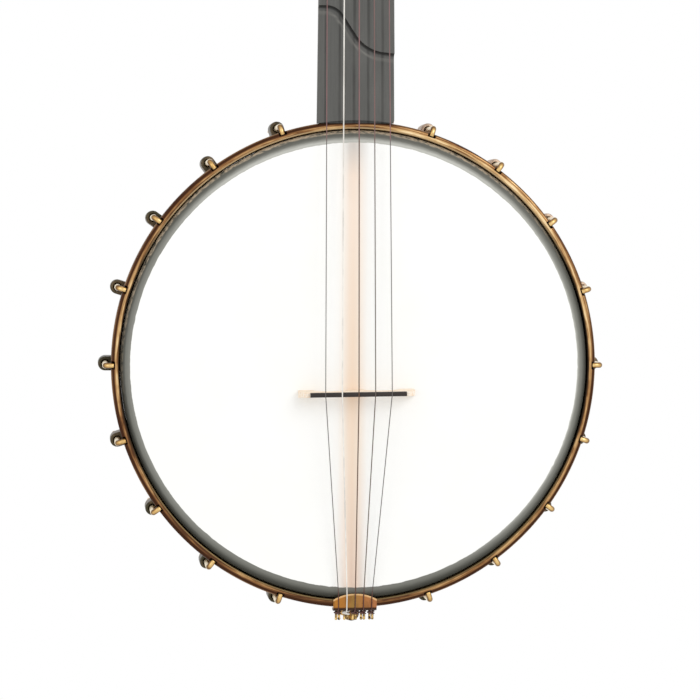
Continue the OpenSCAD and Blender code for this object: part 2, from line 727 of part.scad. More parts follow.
// Edge of the scoop, from the bass side to the treble side: bend, straight stretch, bend
// and a last stretch that still leans
function scoop_edge() = let (
    start_x = -bass_pot + 6,
    a = scoop_angle,
    last = 6,
    p1 = [start_x + scoop_bend_bass * sin(a), scoop_bass - scoop_bend_bass * (1 - cos(a))],
    p2 = p1 + scoop_straight * [cos(a), -sin(a)],
    mid = p2 + scoop_bend_treble * [sin(a), cos(a)])
    concat([[-bass_pot - 5, scoop_bass]],
        [for (i = [0:8]) let (b = a * i / 8)
            [start_x + scoop_bend_bass * sin(b), scoop_bass - scoop_bend_bass * (1 - cos(b))]],
        [for (i = [0:10]) let (b = lerp(a, last, i / 10)) mid - scoop_bend_treble * [sin(b), cos(b)]],
        [[treble_pot + 5, mid[1] - scoop_bend_treble * cos(last)
            - (treble_pot + 5 - mid[0] + scoop_bend_treble * sin(last)) * tan(last)]]);

BOARD_YS = concat([-12, 0, step_y], [for (i = [1:8]) step_y + step_len * i / 8], [board_len]);

module fingerboard() {
    n = len(BOARD_YS) - 1;
    color("#55565a") difference() {
        at_board() translate([0, 0, -board_t + seat]) linear_extrude(board_t - seat) polygon(concat(
            [for (y = BOARD_YS) [treble_x(y), y]], [for (i = [n:-1:0]) [bass_x(BOARD_YS[i]), BOARD_YS[i]]]));
        front() cylinder(r = joint_y, h = 2 * rim_depth, $fn = ring_fn);
        at_board() translate([0, 0, -scoop_depth]) linear_extrude(2 * scoop_depth)
            polygon(concat([[-bass_pot - 5, -treble_pot]], scoop_edge(), [[treble_pot + 5, -treble_pot]]));
        at_board() translate([-fifth_x, fifth_y, -3]) cylinder(d = 3 + 2 * seat, h = 4, $fn = 24);
    }
}

module nut() {
    top = nut_action + string_thick / 2;
    color("#efe6cf") at_board() difference() {
        translate([-bass_nut, board_len + seat, -board_t + seat])
            cube([bass_nut + treble_nut, nut_t - 2 * seat, board_t + top]);
        translate([-bass_nut - over, board_len + nut_t, top - 1.2]) rotate([30, 0, 0])
            cube([wide, nut_t, nut_t]);
        for (i = [0:3]) let (slot_w = STRING_D[i] + 2 * seat)
            translate([STRING_SIDE[i] * nut_space, board_len + nut_t / 2, nut_action]) rotate([90, 0, 0]) {
                cylinder(d = slot_w, h = 2 * nut_t, center = true, $fn = 24);
                translate([0, 2, 0]) cube([slot_w, 4, 2 * nut_t], center = true);
            }
    }
}

module fifth_nut() {
    color("#efe6cf") at_board() translate([-fifth_x, fifth_y, 0]) difference() {
        translate([0, 0, -3 + seat]) cylinder(d = 3, h = 3 + nut_action + string_thin, $fn = 24);
        translate([0, 0, nut_action + 2]) cube([string_thin + 2 * seat, 6, 4 + string_thin], center = true);
    }
}

// Half width of the peghead at y from the nut, up to its crown
function peghead_edge(y) =
    y < wide_y ? lerp((treble_nut + bass_nut) / 2, peghead_half - 2, smooth(y / wide_y)) :
    y < waist_y ? lerp(peghead_half - 2, waist_half, smooth((y - wide_y) / (waist_y - wide_y))) :
    lerp(waist_half, peghead_half, smooth((y - waist_y) / (crown_y - waist_y)));

// Curve of the crown, at x from the centreline
function crown_at(x) = crown_y + (peghead_len - crown_y) * (0.5 + 0.5 * cos(180 * x / peghead_half));

module peghead_outline() {
    steps = 16;
    edge = [for (i = [0:steps]) let (y = crown_y * i / steps) [peghead_edge(y), y]];
    crown = [for (i = [steps - 1:-1:0]) let (x = peghead_half * i / steps) [x, crown_at(x)]];
    right = concat(edge, crown);
    n = len(right) - 2;
    polygon(concat(right, [for (i = [n:-1:0]) [-right[i][0], right[i][1]]]));
}

module peghead_slab(back, thick) {
    difference() {
        at_peghead() translate([0, 0, -back]) linear_extrude(thick) union() {
            peghead_outline();
            translate([-(treble_nut + bass_nut) / 2, -6]) square([treble_nut + bass_nut, 6 + 0.01]);
        }
        at_board() translate([-wide, board_len + nut_t - wide + seat, -wide])
            cube([2 * wide, wide, 2 * wide]);
        for (i = [0:3]) at_tuner(i) translate([0, 0, -plate_back - over])
            cylinder(d = sleeve_d + 2 * seat, h = plate_back + 2 * over);
    }
}

module peghead() { color("#b97f45") peghead_slab(plate_back, peghead_t); }

module peghead_overlay() { color("#3c3c3f") peghead_slab(overlay_t - seat, overlay_t - seat); }

module tuner_housings() {
    color("#b8b4a8") for (i = [0:3]) at_tuner(i) difference() {
        union() {
            translate([0, 0, -plate_back - seat - housing_len]) cylinder(d = housing_d, h = housing_len);
            translate([0, 0, -plate_back - seat - 1.5]) cylinder(d = housing_d + 1.5, h = 1.5);
            translate([0, 0, -plate_back - 1]) cylinder(d = sleeve_d, h = plate_back + 1 + collar_t - 1);
        }
        translate([0, 0, post_low - part_gap]) cylinder(d = post_d + 2 * run, h = 2 * plate_back);
        translate([0, 0, -plate_back - housing_len - over]) cylinder(d = shaft_d + 2 * run, h = 7 + over);
    }
}

module tuner_collars() {
    collar_w = sleeve_d + 5;
    color("#cfae62") for (i = [0:3]) at_tuner(i) difference() {
        union() {
            translate([0, 0, seat]) cylinder(d = collar_w, h = 1);
            translate([0, 0, 1]) cylinder(d = collar_w, h = collar_t - 1, $fn = 6);
        }
        translate([0, 0, -over]) cylinder(d = sleeve_d + 2 * seat, h = collar_t + 2 * over);
    }
}

// Post that takes the string, with a waist for the winding and a rounded top
module string_post(d, low, high, waist_low, waist_len, waist_r) {
    r = d / 2;
    waist_high = waist_low + waist_len;
    rotate_extrude() polygon([[0, low], [r, low], [r, waist_low - 0.6], [waist_r, waist_low],
        [waist_r, waist_high], [r, waist_high + 0.6], [r, high - 0.8], [r - 0.8, high], [0, high]]);
}

module tuner_post(i) {
    color("#cfae62") at_tuner(i)
        string_post(post_d, post_low, post_h, wind_z - 0.4, wind_len + 0.8, post_waist);
}

// Turns of string round a post
module turns(d, r, turns_len) {
    count = floor(turns_len / d);
    rotate_extrude() difference() {
        translate([r + seat, 0]) square([d, count * d]);
        for (k = [0:count]) translate([r + seat + d, k * d]) rotate(45) square(d * 0.3, center = true);
    }
}

module winding(i) {
    color("#8a5a48") at_tuner(i) translate([0, 0, wind_z]) turns(STRING_D[i], post_waist, wind_len);
}

// Button on its shaft, z out of the housing: a round form with two flat cheeks
module button_form(shaft_low) {
    foot = button_gap + ferrule_len;
    r = button_w / 2;
    half_form = [for (a = [-60:12:60])
        [r * (0.42 + 0.58 * pow(cos(a), 0.8)), foot + button_len * (0.5 + 0.5 * sin(a) / sin(60))]];
    translate([0, 0, shaft_low]) cylinder(d = shaft_d, h = foot + 4 - shaft_low);
    translate([0, 0, button_gap]) cylinder(d = 8.6, h = ferrule_len);
    intersection() {
        rotate_extrude() polygon(concat([[0, foot]], half_form, [[0, foot + button_len]]));
        cube([3 * r, button_t, 4 * button_len], center = true);
    }
}

module at_button(i) {
    at_tuner(i) translate([0, 0, -plate_back - seat - housing_len]) rotate([180, 0, 0]) children();
}

module tuner_button(i) { color("#ece0c4") at_button(i) button_form(-6); }

module button_end_screw() {
    translate([0, 0, button_gap + ferrule_len + button_len + seat]) cylinder(d = 5, h = 1.6);
}

module button_screw(i) { color("#cfae62") at_button(i) button_end_screw(); }

module fifth_peg_body() {
    housing_low = window_low + window_len;
    color("#b8b4a8") at_fifth() difference() {
        union() {
            translate([0, 0, -peg_shank_len]) cylinder(d = peg_shank_d, h = peg_shank_len + 1);
            translate([0, 0, 0.2]) cylinder(d = fifth_d, h = housing_low + peg_housing_len - 0.2);
        }
        // window that bares the post, open toward the fingerboard and the head
        translate([0, 0, window_low]) cylinder(d = fifth_d - 3, h = window_len);
        translate([-2.4, -fifth_d, window_low]) cube([fifth_d, fifth_d + 2.4, window_len]);
        translate([0, 0, -4]) cylinder(d = fifth_post_d + 2 * run, h = housing_low + 6);
        translate([0, 0, housing_low + peg_housing_len - 5]) cylinder(d = shaft_d + 2 * run, h = 6);
    }
}

module fifth_post() {
    color("#cfae62") at_fifth() string_post(fifth_post_d, -3.6, window_low + window_len + 1.6,
        window_low + 2, wind_len, fifth_post_d / 2 - 0.4);
}

module fifth_winding() {
    color("#8a5a48") at_fifth() translate([0, 0, window_low + 2])
        turns(string_thin, fifth_post_d / 2 - 0.4, wind_len - 0.4);
}

module at_fifth_button() {
    at_fifth() translate([0, 0, window_low + window_len + peg_housing_len]) children();
}

module fifth_button() { color("#ece0c4") at_fifth_button() button_form(-4.6); }

module fifth_button_screw() { color("#cfae62") at_fifth_button() button_end_screw(); }

// Points in the pot's frame, from the neck's and the peghead's own frames
function from_board(p) = [p[0], joint_y + p[1] * cos(neck_angle) + p[2] * sin(neck_angle),
    board_z - p[1] * sin(neck_angle) + p[2] * cos(neck_angle)];
function from_peghead(p) = from_board([nut_mid + p[0],
    board_len + nut_t + p[1] * cos(peghead_angle) + p[2] * sin(peghead_angle),
    -peghead_drop - p[1] * sin(peghead_angle) + p[2] * cos(peghead_angle)]);

// A string's route from its prongs to the bridge, the same for all five
function tail_route(i) = let (
    r = STRING_D[i] / 2 + seat,
    x = STRING_SIDE[i] * tail_space,
    lift = (plate_out - plate_in) * sin(plate_tilt),
    side = STRING_SIDE[i])
    [[x, -plate_out - tail_t - prong_len * 0.3, prong_z + prong_pair * 0.33],
        [x, -plate_out - tail_t - r, plate_base - tail_bend * 0.6],
        [x, -plate_out - r, plate_base + tail_t + r],
        [x, -plate_in - 1, plate_base + tail_t + lift + r],
        [side * bridge_space * cos(bridge_turn), bridge_y + side * bridge_space * sin(bridge_turn),
            bridge_top]];

// Strings 1 to 4 run from the bridge over the nut to the inner side of their posts
function long_string(i) = let (
    x = STRING_SIDE[i] * nut_space,
    out = TUNERS[i][0],
    wind_r = post_waist + seat + STRING_D[i] + part_gap + STRING_D[i] / 2)
    concat(tail_route(i), [
        from_board([x, board_len + seat, nut_action]),
        from_board([x, board_len + nut_t * 0.75, nut_action - 0.1]),
        from_peghead([out * (tuner_x - wind_r), TUNERS[i][1], wind_z + wind_len / 2])]);

// The fifth string ends at the peg on the neck's side
function fifth_string() = let (
    edge = bass_x(peg_y))
    concat(tail_route(4), [
        from_board([-fifth_x, fifth_y - 1.4, nut_action]),
        from_board([-fifth_x, fifth_y + 1.4, nut_action - 0.1]),
        from_board([edge - 0.9, peg_y - 4.4, 0.2]),
        from_board([edge - window_low - 3, peg_y - fifth_post_d / 2 - 0.9, peg_z])]);

STRING_COLOURS = ["#77706c", "#6d4a3c", "#7a4034", "#f2efe6", "#77706c"];

module string(i) {
    color(STRING_COLOURS[i]) front() cord(i < 4 ? long_string(i) : fifth_string(), STRING_D[i]);
}

rim();
tone_ring();
head();
flesh_hoop();
tension_hoop();
hooks();
hook_nuts();
shoes();
shoe_screws();
dowel_stick();
neck_brace();
brace_screw();
end_bolt();
tail_bracket();
tailpiece();
tail_bolt();
tail_bolt_nut();
bridge();
bridge_cap();
neck();
heel_cap();
fingerboard();
nut();
fifth_nut();
peghead();
peghead_overlay();
string(0);  // string_1
string(1);  // string_2
string(2);  // string_3
string(3);  // string_4
string(4);  // string_5
tuner_housings();
tuner_collars();
tuner_post(0);  // post_1
tuner_post(1);  // post_2
tuner_post(2);  // post_3
tuner_post(3);  // post_4
winding(0);  // winding_1
winding(1);  // winding_2
winding(2);  // winding_3
winding(3);  // winding_4
tuner_button(0);  // button_1
tuner_button(1);  // button_2
tuner_button(2);  // button_3
tuner_button(3);  // button_4
button_screw(0);  // button_screw_1
button_screw(1);  // button_screw_2
button_screw(2);  // button_screw_3
button_screw(3);  // button_screw_4
fifth_peg_body();
fifth_post();
fifth_winding();
fifth_button();
fifth_button_screw();
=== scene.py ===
"""Dresses an open-back five-string banjo: finished pieces, finishes, lamps and a camera.

All lengths are metres in the frame's own axes: +Z runs up the neck, the head faces -Y and
+X is the treble side. The origin is the centre of the rim's back face.
"""

import json
import math

import bmesh
import bpy
from bpy.props import FloatProperty, FloatVectorProperty, IntProperty, PointerProperty
from mathutils import Matrix, Vector


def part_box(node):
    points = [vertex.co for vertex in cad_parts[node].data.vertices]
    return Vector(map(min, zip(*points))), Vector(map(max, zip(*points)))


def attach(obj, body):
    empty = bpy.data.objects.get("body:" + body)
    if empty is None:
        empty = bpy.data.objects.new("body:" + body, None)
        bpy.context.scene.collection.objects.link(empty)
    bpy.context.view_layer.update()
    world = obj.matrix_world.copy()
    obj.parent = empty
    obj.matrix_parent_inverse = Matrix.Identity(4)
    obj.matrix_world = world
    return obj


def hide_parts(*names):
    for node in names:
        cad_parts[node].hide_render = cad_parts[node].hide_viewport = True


bl_info = {
    "name": "Open-back banjo",
    "version": (1, 0, 0),
    "blender": (4, 5, 0),
    "location": "3D View > Sidebar > Banjo",
    "description": "Builds and finishes an open-back five-string banjo",
    "category": "Add Mesh",
}

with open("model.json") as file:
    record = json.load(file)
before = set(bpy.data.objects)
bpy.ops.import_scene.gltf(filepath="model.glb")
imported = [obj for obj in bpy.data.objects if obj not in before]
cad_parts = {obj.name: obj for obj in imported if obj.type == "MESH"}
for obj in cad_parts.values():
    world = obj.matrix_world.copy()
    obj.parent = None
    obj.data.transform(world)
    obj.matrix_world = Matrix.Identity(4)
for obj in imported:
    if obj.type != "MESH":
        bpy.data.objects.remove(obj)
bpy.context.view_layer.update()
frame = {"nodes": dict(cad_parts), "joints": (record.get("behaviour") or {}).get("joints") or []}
BODY = "banjo"
MM = 0.001
TAU = 2 * math.pi
CLEAR = 0.05 * MM       # left between pieces that are screwed or pressed together
MERGE = 1e-6            # points nearer than this are one point
ROUND = 240             # sides of the head and of the hoops

# The pot's frame in the frame's axes: x right, y up the neck and z out of the head
POT = Matrix(((1, 0, 0, 0), (0, 0, -1, 0), (0, 1, 0, 0), (0, 0, 0, 1)))


def low(node, axis):
    """Lowest place of a CAD node along an axis of the frame."""
    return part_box(node)[0][axis]


def high(node, axis):
    """Highest place of a CAD node along an axis of the frame."""
    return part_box(node)[1][axis]


def joint_of(name):
    """A joint of the frame, by its name."""
    return next(joint for joint in frame["joints"] if joint["name"] == name)


def length(name, description, default):
    """A size in metres."""
    return FloatProperty(name=name, description=description, default=default, unit="LENGTH",
                         subtype="DISTANCE", precision=5)


def angle(name, description, degrees):
    """An angle, given in degrees and kept in radians."""
    return FloatProperty(name=name, description=description, default=math.radians(degrees),
                         subtype="ANGLE", unit="ROTATION")


def linear(red, green, blue):
    """A colour of 0 to 255 a channel, as the renderer's linear values."""
    def channel(value):
        share = value / 255
        return share / 12.92 if share <= 0.04045 else ((share + 0.055) / 1.055) ** 2.4
    return channel(red), channel(green), channel(blue)


def tint(name, description, *channels):
    """A colour that the finishes use."""
    return FloatVectorProperty(name=name, description=description, default=linear(*channels),
                               subtype="COLOR", size=3, min=0, max=1)


# ---- sizes and colours


class PotSizes(bpy.types.PropertyGroup):
    """Sizes of the rim, the head and the hoops"""

    rim_radius: length("Rim radius", "Outside of the wooden rim", high("rim", 0))
    rim_wall: length("Rim wall", "Thickness of the rim", 6.35 * MM)
    rim_edge: length("Rim edge", "Radius of the edges of rim and dowel stick", 0.5 * MM)
    ring_wire: length("Tone ring", "Diameter of the rolled tone ring", 6.35 * MM)
    head_skin: length("Head", "Thickness of the head", 0.4 * MM)
    head_front: length("Head's face", "Height of the head's face over the rim's back",
                       -low("head", 1))
    hoop_radius: length("Hoop radius", "Outside of the tension hoop", high("tension_hoop", 0))
    hoop_wall: length("Hoop wall", "Thickness of the tension hoop", 5.2 * MM)
    hoop_front: length("Hoop's front", "Height of the hoop's front face",
                       -low("tension_hoop", 1))
    hoop_back: length("Hoop's back", "Height of the hoop's back face",
                      -high("tension_hoop", 1))
    hoop_edge: length("Hoop's edge", "Radius of the hoop's worn edges", 0.9 * MM)
    hoop_round: length("Hoop's outer edge", "Radius of its outer front edge", 1.7 * MM)
    flesh_wall: length("Flesh hoop", "Thickness of the flesh hoop", 4.2 * MM)
    notch_width: length("Notch width", "Width of a hook's notch", 4.8 * MM)
    notch_reach: length("Notch reach", "How far a notch goes into the hoop", 2.2 * MM)
    places: IntProperty(name="Places", description="Hook places round the pot", default=20,
                        min=4, max=40)


class HookSizes(bpy.types.PropertyGroup):
    """Sizes of the hooks, their nuts and their shoes"""

    wire: length("Hook wire", "Diameter of a hook", 4 * MM)
    bend: length("Hook bend", "Radius of a hook's bend", 3 * MM)
    reach: length("Hook reach", "How far a hook's tip goes into its notch", 1.8 * MM)
    front: length("Hook's front", "Height of the hooks' front", -low("hooks", 1))
    back: length("Hook's end", "Height of the hooks' threaded ends", -high("hooks", 1))
    nut_front: length("Nut's front", "Height of the nuts' fronts", -low("hook_nuts", 1))
    nut_back: length("Nut's back", "Height of the nuts' backs", -high("hook_nuts", 1))
    nut_width: length("Nut width", "Width of a nut across its flats", 7.2 * MM)
    nut_flange: length("Nut flange", "Thickness of a nut's round flange", 1.6 * MM)
    shoe_front: length("Shoe's front", "Height of the shoes' fronts", -low("shoes", 1))
    shoe_back: length("Shoe's back", "Height of the shoes' backs", -high("shoes", 1))
    shoe_width: length("Shoe width", "Width of a shoe", 9.4 * MM)
    shoe_bore: length("Shoe bore", "Bore of a shoe round its hook", 5.4 * MM)
    screw_head: length("Screw head", "Diameter of a shoe screw's head", 8 * MM)
    screw_high: length("Screw head's height", "Height of a shoe screw's head", 2.1 * MM)
    screw_slot: length("Screw slot", "Width of the slot in a shoe screw's head", 0.9 * MM)
    screw_wire: length("Screw", "Diameter of a shoe screw", 4 * MM)


class NeckSizes(bpy.types.PropertyGroup):
    """Sizes of the neck and the fingerboard"""

    tilt: angle("Neck tilt", "Backward tilt of the neck", 2.2)
    joint: length("Neck joint", "Distance of the board's foot from the pot's axis", 159.15 * MM)
    face: length("Board's face", "Height of the fingerboard's face at the hoop", 73.65 * MM)
    board: length("Board", "Thickness of the fingerboard", 6.35 * MM)
    scale: length("Scale", "From the nut to the bridge", 666.75 * MM)
    bridge_down: length("Bridge", "Distance of the bridge below the pot's axis", 18 * MM)
    treble_pot: length("Treble edge, pot", "Board's treble edge from the third string",
                       23.9 * MM)
    treble_nut: length("Treble edge, nut", "Board's treble edge from the third string",
                       20.6 * MM)
    bass_pot: length("Bass edge, pot", "Board's bass edge from the third string", 26.5 * MM)
    bass_fifth: length("Bass edge, fifth", "Board's bass edge at the fifth fret's place",
                       22.4 * MM)
    bass_nut: length("Bass edge, nut", "Board's bass edge from the third string", 12 * MM)
    corner: length("Board's corner", "Radius of the board's treble corner", 2.2 * MM)
    board_edge: length("Board's edge", "Radius of the board's long edges", 0.5 * MM)
    scoop_depth: length("Scoop depth", "Depth of the scoop", 3 * MM)
    scoop_bass: length("Scoop, bass", "Length of the scoop on the bass side", 73.6 * MM)
    scoop_bend_bass: length("Scoop bend, bass", "Radius of the scoop's bass bend", 12.5 * MM)
    scoop_bend_treble: length("Scoop bend, treble", "Radius of the scoop's treble bend",
                              24 * MM)
    scoop_angle: angle("Scoop angle", "Steepest angle of the scoop's edge", 57)
    scoop_last: angle("Scoop's last angle", "Angle of its edge on the treble side", 6)
    scoop_straight: length("Scoop straight", "Straight stretch of its edge", 15.8 * MM)
    scoop_cove: length("Scoop cove", "Width of the hollow along its edge", 3.2 * MM)


class StringSizes(bpy.types.PropertyGroup):
    """Sizes of the strings"""

    thin: length("Thin string", "Diameter of the thinnest strings", 0.6 * MM)
    thick: length("Fourth string", "Diameter of the fourth string", 0.9 * MM)
    nut_space: length("Spacing at the nut", "Distance between strings", 8 * MM)
    bridge_space: length("Spacing at the bridge", "Distance between strings", 10.8 * MM)
    tail_space: length("Spacing at the tailpiece", "Distance between strings", 5.5 * MM)
    wound: length("Wound height", "Height of the turns on a post, at most", 3.4 * MM)
    loop_out: length("Loops out", "From the hoop's rim out to the strings' loops", 3.6 * MM)
    loop_high: length("Loop height", "Height of the loops in the pot", 66.5 * MM)
    loop_wide: length("Loop size", "Radius of a loop round its prongs", 2.2 * MM)


class TunerSizes(bpy.types.PropertyGroup):
    """Sizes of the tuners"""

    fifth_up: length("Fifth peg", "Its distance from the fifth string's nut", 12 * MM)
    fifth_body: length("Fifth peg's body", "Diameter of its body", 13 * MM)
    housing_edge: length("Housing's edge", "Radius of the housings' edges", 0.5 * MM)
    metal_edge: length("Metal edge", "Radius of the edges of collars and screws", 0.3 * MM)
    button_edge: length("Button's edge", "Radius of the buttons' edges", 0.8 * MM)


class Colours(bpy.types.PropertyGroup):
    """Colours of the finishes"""

    brass: tint("Brass", "Worn brass of the hoop", 182, 142, 94)
    # the hoop's brown outer edge: partly tarnish, partly painted shade
    brass_tarnish_and_shade: tint("Brass, tarnished", "Tarnish in the edges and notches", 60, 30, 9)
    brass_olive: tint("Brass, olive", "Olive bloom on old brass", 118, 98, 64)
    hook_gold: tint("Hook brass", "Brighter brass of the hooks", 200, 160, 96)
    shoe_bronze: tint("Shoe bronze", "Dark brass of the shoes", 98, 84, 64)
    head: tint("Head", "White of the head", 252, 252, 250)
    # painted: the dowel stick's glow through the head
    dowel_band: tint("Dowel behind the head", "Wood seen through the head", 244, 222, 200)
    board: tint("Fingerboard", "Charcoal of the fingerboard", 90, 90, 87)
    maple: tint("Maple", "Maple of the rim", 226, 190, 146)
    neck_wood: tint("Neck wood", "Wood of neck and peghead", 178, 122, 68)
    ebony: tint("Ebony", "Wood of the bridge's cap", 38, 27, 20)
    bone: tint("Bone", "Bone of the nuts", 238, 230, 208)
    ivory: tint("Ivoroid", "Buttons of the tuners", 236, 224, 196)
    string_outer: tint("Strings 1 and 5", "Colour of the outer strings", 98, 94, 92)
    string_second: tint("String 2", "Colour of the second string", 96, 86, 78)
    string_third: tint("String 3", "Colour of the third string", 98, 68, 48)
    string_fourth: tint("String 4", "Colour of the fourth string", 244, 240, 232)


class StageSizes(bpy.types.PropertyGroup):
    """Camera, lamps and floor"""

    camera_at: FloatVectorProperty(name="Camera", description="Place of the camera", size=3,
                                   default=(-0.1726, -1.520, 0.0816), subtype="TRANSLATION",
                                   unit="LENGTH")
    yaw: angle("Yaw", "Turn of the camera to the right", 6.626)
    pitch: angle("Pitch", "Rise of the camera's view", -2.803)
    roll: angle("Roll", "Clockwise turn of the view", 0.33)
    lens: FloatProperty(name="Lens", description="Focal length in millimetres",
                        default=115.55, min=20)
    key_power: FloatProperty(name="Key lamp", description="Power of the key lamp",
                             default=11, min=0, unit="POWER")
    fill_power: FloatProperty(name="Fill lamp", description="Power of the fill lamp",
                              default=5, min=0, unit="POWER")
    ambient: FloatProperty(name="Ambient", description="Strength of the soft light all round",
                           default=0.84, min=0)
    floor_down: length("Floor", "Depth of the floor below the pot's axis", 0.6)


GROUPS = {"pot": PotSizes, "hook": HookSizes, "neck": NeckSizes, "string": StringSizes,
          "tuner": TunerSizes, "colour": Colours, "stage": StageSizes}


def sizes(group):
    """The scene's values of one group."""
    return getattr(bpy.context.scene, "banjo_" + group)


# ---- node trees


class Value:
    """A number in a node tree; arithmetic on it adds math nodes."""

    def __init__(self, graph, socket):
        self.graph, self.socket = graph, socket

    def __add__(self, other):
        return self.graph.math("ADD", self, other)

    def __sub__(self, other):
        return self.graph.math("SUBTRACT", self, other)

    def __rsub__(self, other):
        return self.graph.math("SUBTRACT", other, self)

    def __mul__(self, other):
        return self.graph.math("MULTIPLY", self, other)

    def __truediv__(self, other):
        return self.graph.math("DIVIDE", self, other)

    def __neg__(self):
        return self * -1

    def __abs__(self):
        return self.graph.math("ABSOLUTE", self)


class Graph:
    """Adds nodes to a tree and links them."""

    def __init__(self, tree):
        self.tree = tree
        tree.nodes.clear()

    def put(self, socket, value):
        """Sets a socket to a value, or links it to another socket or node."""
        if isinstance(value, bpy.types.Node):
            value = value.outputs[0]
        elif isinstance(value, Value):
            value = value.socket
        if isinstance(value, bpy.types.NodeSocket):
            self.tree.links.new(value, socket)
        else:
            socket.default_value = value

    def add(self, kind, inputs=None, **settings):
        """Adds a node with its settings and inputs."""
        node = self.tree.nodes.new(kind)
        for name, value in settings.items():
            setattr(node, name, value)
        for key, value in (inputs or {}).items():
            self.put(node.inputs[key], value)
        return node

    def math(self, operation, *values):
        """A math node on some values."""
        node = self.add("ShaderNodeMath", operation=operation)
        for socket, value in zip(node.inputs, values):
            self.put(socket, value)
        return Value(self, node.outputs[0])

    def far(self, first, second):
        """Length of a line that goes so far along two axes."""
        return self.math("SQRT", first * first + second * second)

    def mix(self, share, first, second):
        """Mixes two colours; at a share of 1 the second is left."""
        return self.add("ShaderNodeMix", {0: share, 6: opaque(first), 7: opaque(second)},
                        data_type="RGBA").outputs[2]

    def ease(self, value, start, end, low_out=0.0, high_out=1.0):
        """Smooth step from start to end."""
        step = self.add("ShaderNodeMapRange", {"Value": value, "From Min": start,
                        "From Max": end, "To Min": low_out, "To Max": high_out},
                        interpolation_type="SMOOTHSTEP")
        return Value(self, step.outputs[0])

    def lay(self, under, colour, value, start, end, low_out=0.0, high_out=1.0):
        """Lays a colour over another as a value goes from start to end."""
        return self.mix(self.ease(value, start, end, low_out, high_out), under, colour)

    def ramp(self, value, *stops):
        """Colour by a value, from stops of a value and a colour."""
        first, last = stops[0][0], stops[-1][0]
        share = self.add("ShaderNodeMapRange", {"Value": value, "From Min": first,
                                                "From Max": last})
        node = self.add("ShaderNodeValToRGB", {0: share})
        elements = node.color_ramp.elements
        for i, (at, colour) in enumerate(stops):
            place = (at - first) / (last - first)
            stop = elements[i] if i < 2 else elements.new(place)
            stop.position, stop.color = place, opaque(colour)
        return node.outputs[0]

    def noise(self, place, scale, detail, rough=0.55, twist=0.0):
        """Soft noise from 0 to 1, with one scale or with one for each axis."""
        if isinstance(scale, tuple):
            place, scale = self.stretch(place, scale), 1.0
        noise = self.add("ShaderNodeTexNoise", {"Vector": place, "Scale": scale,
                         "Detail": detail, "Roughness": rough, "Distortion": twist})
        return Value(self, noise.outputs["Fac"])

    def stretch(self, place, factors):
        """A place with each of its parts times a factor."""
        return self.add("ShaderNodeVectorMath", {0: place, 1: factors},
                        operation="MULTIPLY").outputs[0]

    def place(self):
        """A point's place on the object, as a vector."""
        return self.add("ShaderNodeTexCoord").outputs["Object"]

    def attribute(self, name):
        """A value that the mesh keeps at each of its points."""
        node = self.add("ShaderNodeAttribute", attribute_name=name)
        return Value(self, node.outputs["Fac"])

    def parts(self, vector):
        """The three parts of a vector."""
        node = self.add("ShaderNodeSeparateXYZ", {0: vector})
        return [Value(self, socket) for socket in node.outputs]

    def join(self, x, y, z):
        """A vector from three parts."""
        return self.add("ShaderNodeCombineXYZ", {0: x, 1: y, 2: z}).outputs[0]

    def around(self, place):
        """Radius and depth round the pot's axis, then how far a place is to the right and up."""
        x, y, z = self.parts(place)
        radius = self.far(x, z)
        return radius, y, x / radius, z / radius

    def paint(self, colour, relief=None, strength=0.0, deep=0.0, rough=None):
        """Gives the shader its colour, a fine relief and an uneven roughness."""
        self.put(self.shader.inputs["Base Color"], colour)
        if relief:
            bump = self.add("ShaderNodeBump", {"Height": relief, "Strength": strength,
                                               "Distance": deep})
            self.put(self.shader.inputs["Normal"], bump)
        if rough:
            self.put(self.shader.inputs["Roughness"], rough)


def opaque(colour):
    """A colour of three channels with full alpha; a socket is left as it is."""
    return colour if isinstance(colour, bpy.types.NodeSocket) else (*colour, 1.0)


def shaded(colour, factor):
    """A lighter or darker shade of a colour."""
    return tuple(factor * channel for channel in colour)


FINISH = {}     # the materials, by name


def start_finish(name, **looks):
    """A new material with one shader, whose own values are given; returns its graph."""
    material = bpy.data.materials.new(name)
    material.use_nodes = True
    graph = Graph(material.node_tree)
    graph.shader = graph.add("ShaderNodeBsdfPrincipled")
    for key, value in looks.items():
        key = key.replace("_", " ").title().replace("Ior", "IOR")
        graph.shader.inputs[key].default_value = value
    graph.add("ShaderNodeOutputMaterial", {"Surface": graph.shader})
    FINISH[name] = material
    return graph


# ---- mesh tools


def lerp(start, end, share):
    """A value that is so far on the way from start to end."""
    return start + (end - start) * share


def smooth(share):
    """A share of 0 to 1 that starts and ends gently."""
    share = min(max(share, 0.0), 1.0)
    return share * share * (3 - 2 * share)


def polar(radius, turn, height):
    """A point at a radius and a turn, in radians, about the z axis."""
    return Vector((radius * math.cos(turn), radius * math.sin(turn), height))


class Opened:
    """A mesh open for edits, which are written back at the end."""

    def __init__(self, mesh):
        self.mesh, self.work = mesh, bmesh.new()

    def __enter__(self):
        self.work.from_mesh(self.mesh)
        return self.work

    def __exit__(self, *failure):
        self.work.to_mesh(self.mesh)
        self.work.free()


def link(name, mesh):
    """A new object in the scene."""
    obj = bpy.data.objects.new(name, mesh)
    bpy.context.scene.collection.objects.link(obj)
    return obj


def loft(name, rings, wrap=False, caps=True):
    """A skin through rings with the same number of points each, facing outwards."""
    count, total = len(rings[0]), len(rings)
    faces = []
    for i in range(total if wrap else total - 1):
        a, b = i * count, (i + 1) % total * count
        faces += [(a + j, a + (j + 1) % count, b + (j + 1) % count, b + j)
                  for j in range(count)]
    if caps and not wrap:
        faces += [tuple(reversed(range(count))),
                  tuple(range((total - 1) * count, total * count))]
    mesh = bpy.data.meshes.new(name)
    mesh.from_pydata([tuple(point) for ring in rings for point in ring], [], faces)
    with Opened(mesh) as work:
        bmesh.ops.remove_doubles(work, verts=work.verts, dist=MERGE)
        bmesh.ops.recalc_face_normals(work, faces=work.faces)
    return link(name, mesh)


